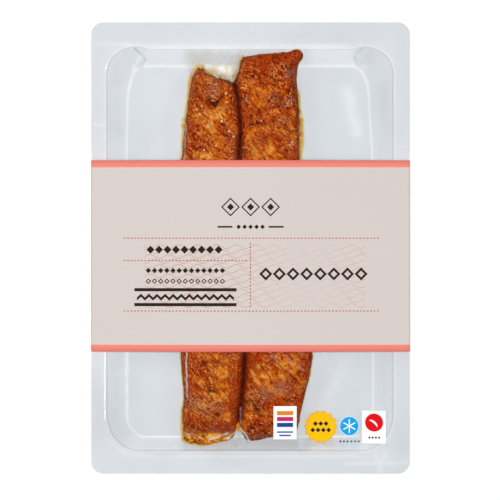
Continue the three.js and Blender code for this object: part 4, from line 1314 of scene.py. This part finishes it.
def cardLayers():
    # fine waves, dashed rules, rows of lozenges, bars and a zigzag, laid out as in the table above
    layers = []

    def put(grid, ink, layer=cardPrint["layer"]):
        layers.append(inkLayer(*grid, cardTop, layer, ink))
    start, end, length, height, width, spacing = cardPrint["waves"]
    x = np.linspace(start, end, 420)
    for k, y in enumerate(np.arange(*cardPrint["waveRows"], spacing)):
        fade = 1 + 0.6 * np.sin(2 * np.pi * (x - start) / (end - start))
        put(ribbon(x, y + height * np.sin(2 * np.pi * x / length + k * np.pi / 2), width * fade), "pale",
            cardPrint["layer"] / 2)
    dash, pitch, thick = cardPrint["dash"]
    for y, start, end in cardPrint["across"]:
        for x in np.arange(start, end, pitch):
            put(bar(x + dash / 2, y, dash, thick), "rule")
    x, start, end = cardPrint["down"]
    for y in np.arange(start, end, pitch):
        put(bar(x, y + dash / 2, thick, dash), "rule")
    for cx, y, count, pitch, half, hole in cardPrint["lozenges"]:
        for k in range(count):
            put(disc(cx + (k - (count - 1) / 2) * pitch, y, half, hole, 4), "charcoal")
    for cx, y, width, height in cardPrint["bars"]:
        put(bar(cx, y, width, height, steps=(24, 2)), "charcoal")
    start, end, y, pitch, half, width = cardPrint["zigzag"]
    x = np.arange(start, end + 0.01, pitch / 2)
    put(ribbon(x, y + half * (np.arange(len(x)) % 2 * 2 - 1) * 0.6, width), "charcoal")
    return layers


signs = {
    "first": 0.08,  # height of the lowest layer of ink above the film
    "step": 0.07,  # from one layer of ink to the next
    "tilt": 0.55,  # how much of the film's slope a stiff sign takes on
    # each sign: middle x, y, width, height
    "bars": (16.2, -82.2, 10.9, 15.8), "disc": (33.1, -84.4, 14.2, 14.2), "star": (46.7, -84.2, 9.5, 9.5),
    "moon": (58.1, -84.4, 11.3, 15.4),
    # bars on the first sign: above its middle, width, height, ink
    "inkBars": [(4.6, 7.6, 2.0, "orange"), (1.8, 7.6, 2.0, "pink"), (-1.0, 7.6, 2.0, "navy"),
                (-4.4, 7.6, 0.7, "navy"), (-6.0, 5.4, 0.7, "navy")],
    # rows of lozenges: above the sign's middle, how many, pitch, half size, layer
    "discRows": [(1.5, 3, 2.5, 1.15, 2), (-1.5, 4, 2.5, 1.15, 2)],
    "starRow": (-7.1, 6, 1.75, 0.5, 0),
    "moonRow": (-4.9, 4, 1.5, 0.6, 1),
}


def signLayers():
    # four small signs at the pack's lower right: bars, a scalloped disc, a star on a disc, a crescent on a
    # disc; the last three with rows of lozenges
    layers = []

    def put(plane, grid, layer, ink):
        layers.append(inkLayer(*grid, plane, signs["first"] + signs["step"] * layer, ink))

    def lozenges(plane, cx, cy, above, count, pitch, half, layer):
        for k in range(count):
            put(plane, disc(cx + (k - (count - 1) / 2) * pitch, cy + above, half, sides=4), layer, "charcoal")
    x, y, width, height = signs["bars"]
    plane = stickerPlane(x, y, width, height)
    put(plane, bar(x, y, width, height), 0, "white")
    for above, long, tall, ink in signs["inkBars"]:
        put(plane, bar(x, y + above, long, tall), 1, ink)
    x, y, width, height = signs["disc"]
    plane = stickerPlane(x, y, width, height)
    put(plane, disc(x, y, 7.3, sides=140, scallop=0.05), 0, "deepYellow")
    put(plane, disc(x, y, 6.9, sides=140, scallop=0.05), 1, "yellow")
    for row in signs["discRows"]:
        lozenges(plane, x, y, *row)
    # the row under the star lies straight on the film, in a plane of its own, 10.5 by 1.4 mm
    x, y, width, height = signs["star"]
    lozenges(stickerPlane(x, y + signs["starRow"][0], 10.5, 1.4), x, y, *signs["starRow"])
    plane = stickerPlane(x, y, width, height)
    put(plane, disc(x, y, 4.75), 0, "paleBlue")
    put(plane, disc(x, y, 4.3), 1, "blue")
    for k in range(3):
        put(plane, bar(x, y, 0.5, 6.4, k * math.pi / 3), 2, "white")
    x, y, width, height = signs["moon"]
    plane = stickerPlane(x, y, width, height)
    put(plane, bar(x, y, width, height), 0, "white")
    x += 0.1
    put(plane, disc(x, y + 2.1, 4.2), 1, "red")
    lozenges(plane, x, y, *signs["moonRow"])
    # the crescent lies between two arcs of unlike height over the same chord, 5 mm long, and is turned
    t = np.linspace(0, np.pi, 32)
    v = np.linspace(0.55, 1.5, 6)[:, None] * np.sin(t) - 0.9
    u = 2.5 * np.cos(t) + 0 * v
    c, s = math.cos(-0.7), math.sin(-0.7)
    put(plane, (x + u * c - v * s, y + 2.1 + u * s + v * c), 2, "white")
    return layers


makePrint("card_print", cardLayers())
makePrint("film_signs", signLayers())
print("stage: print")
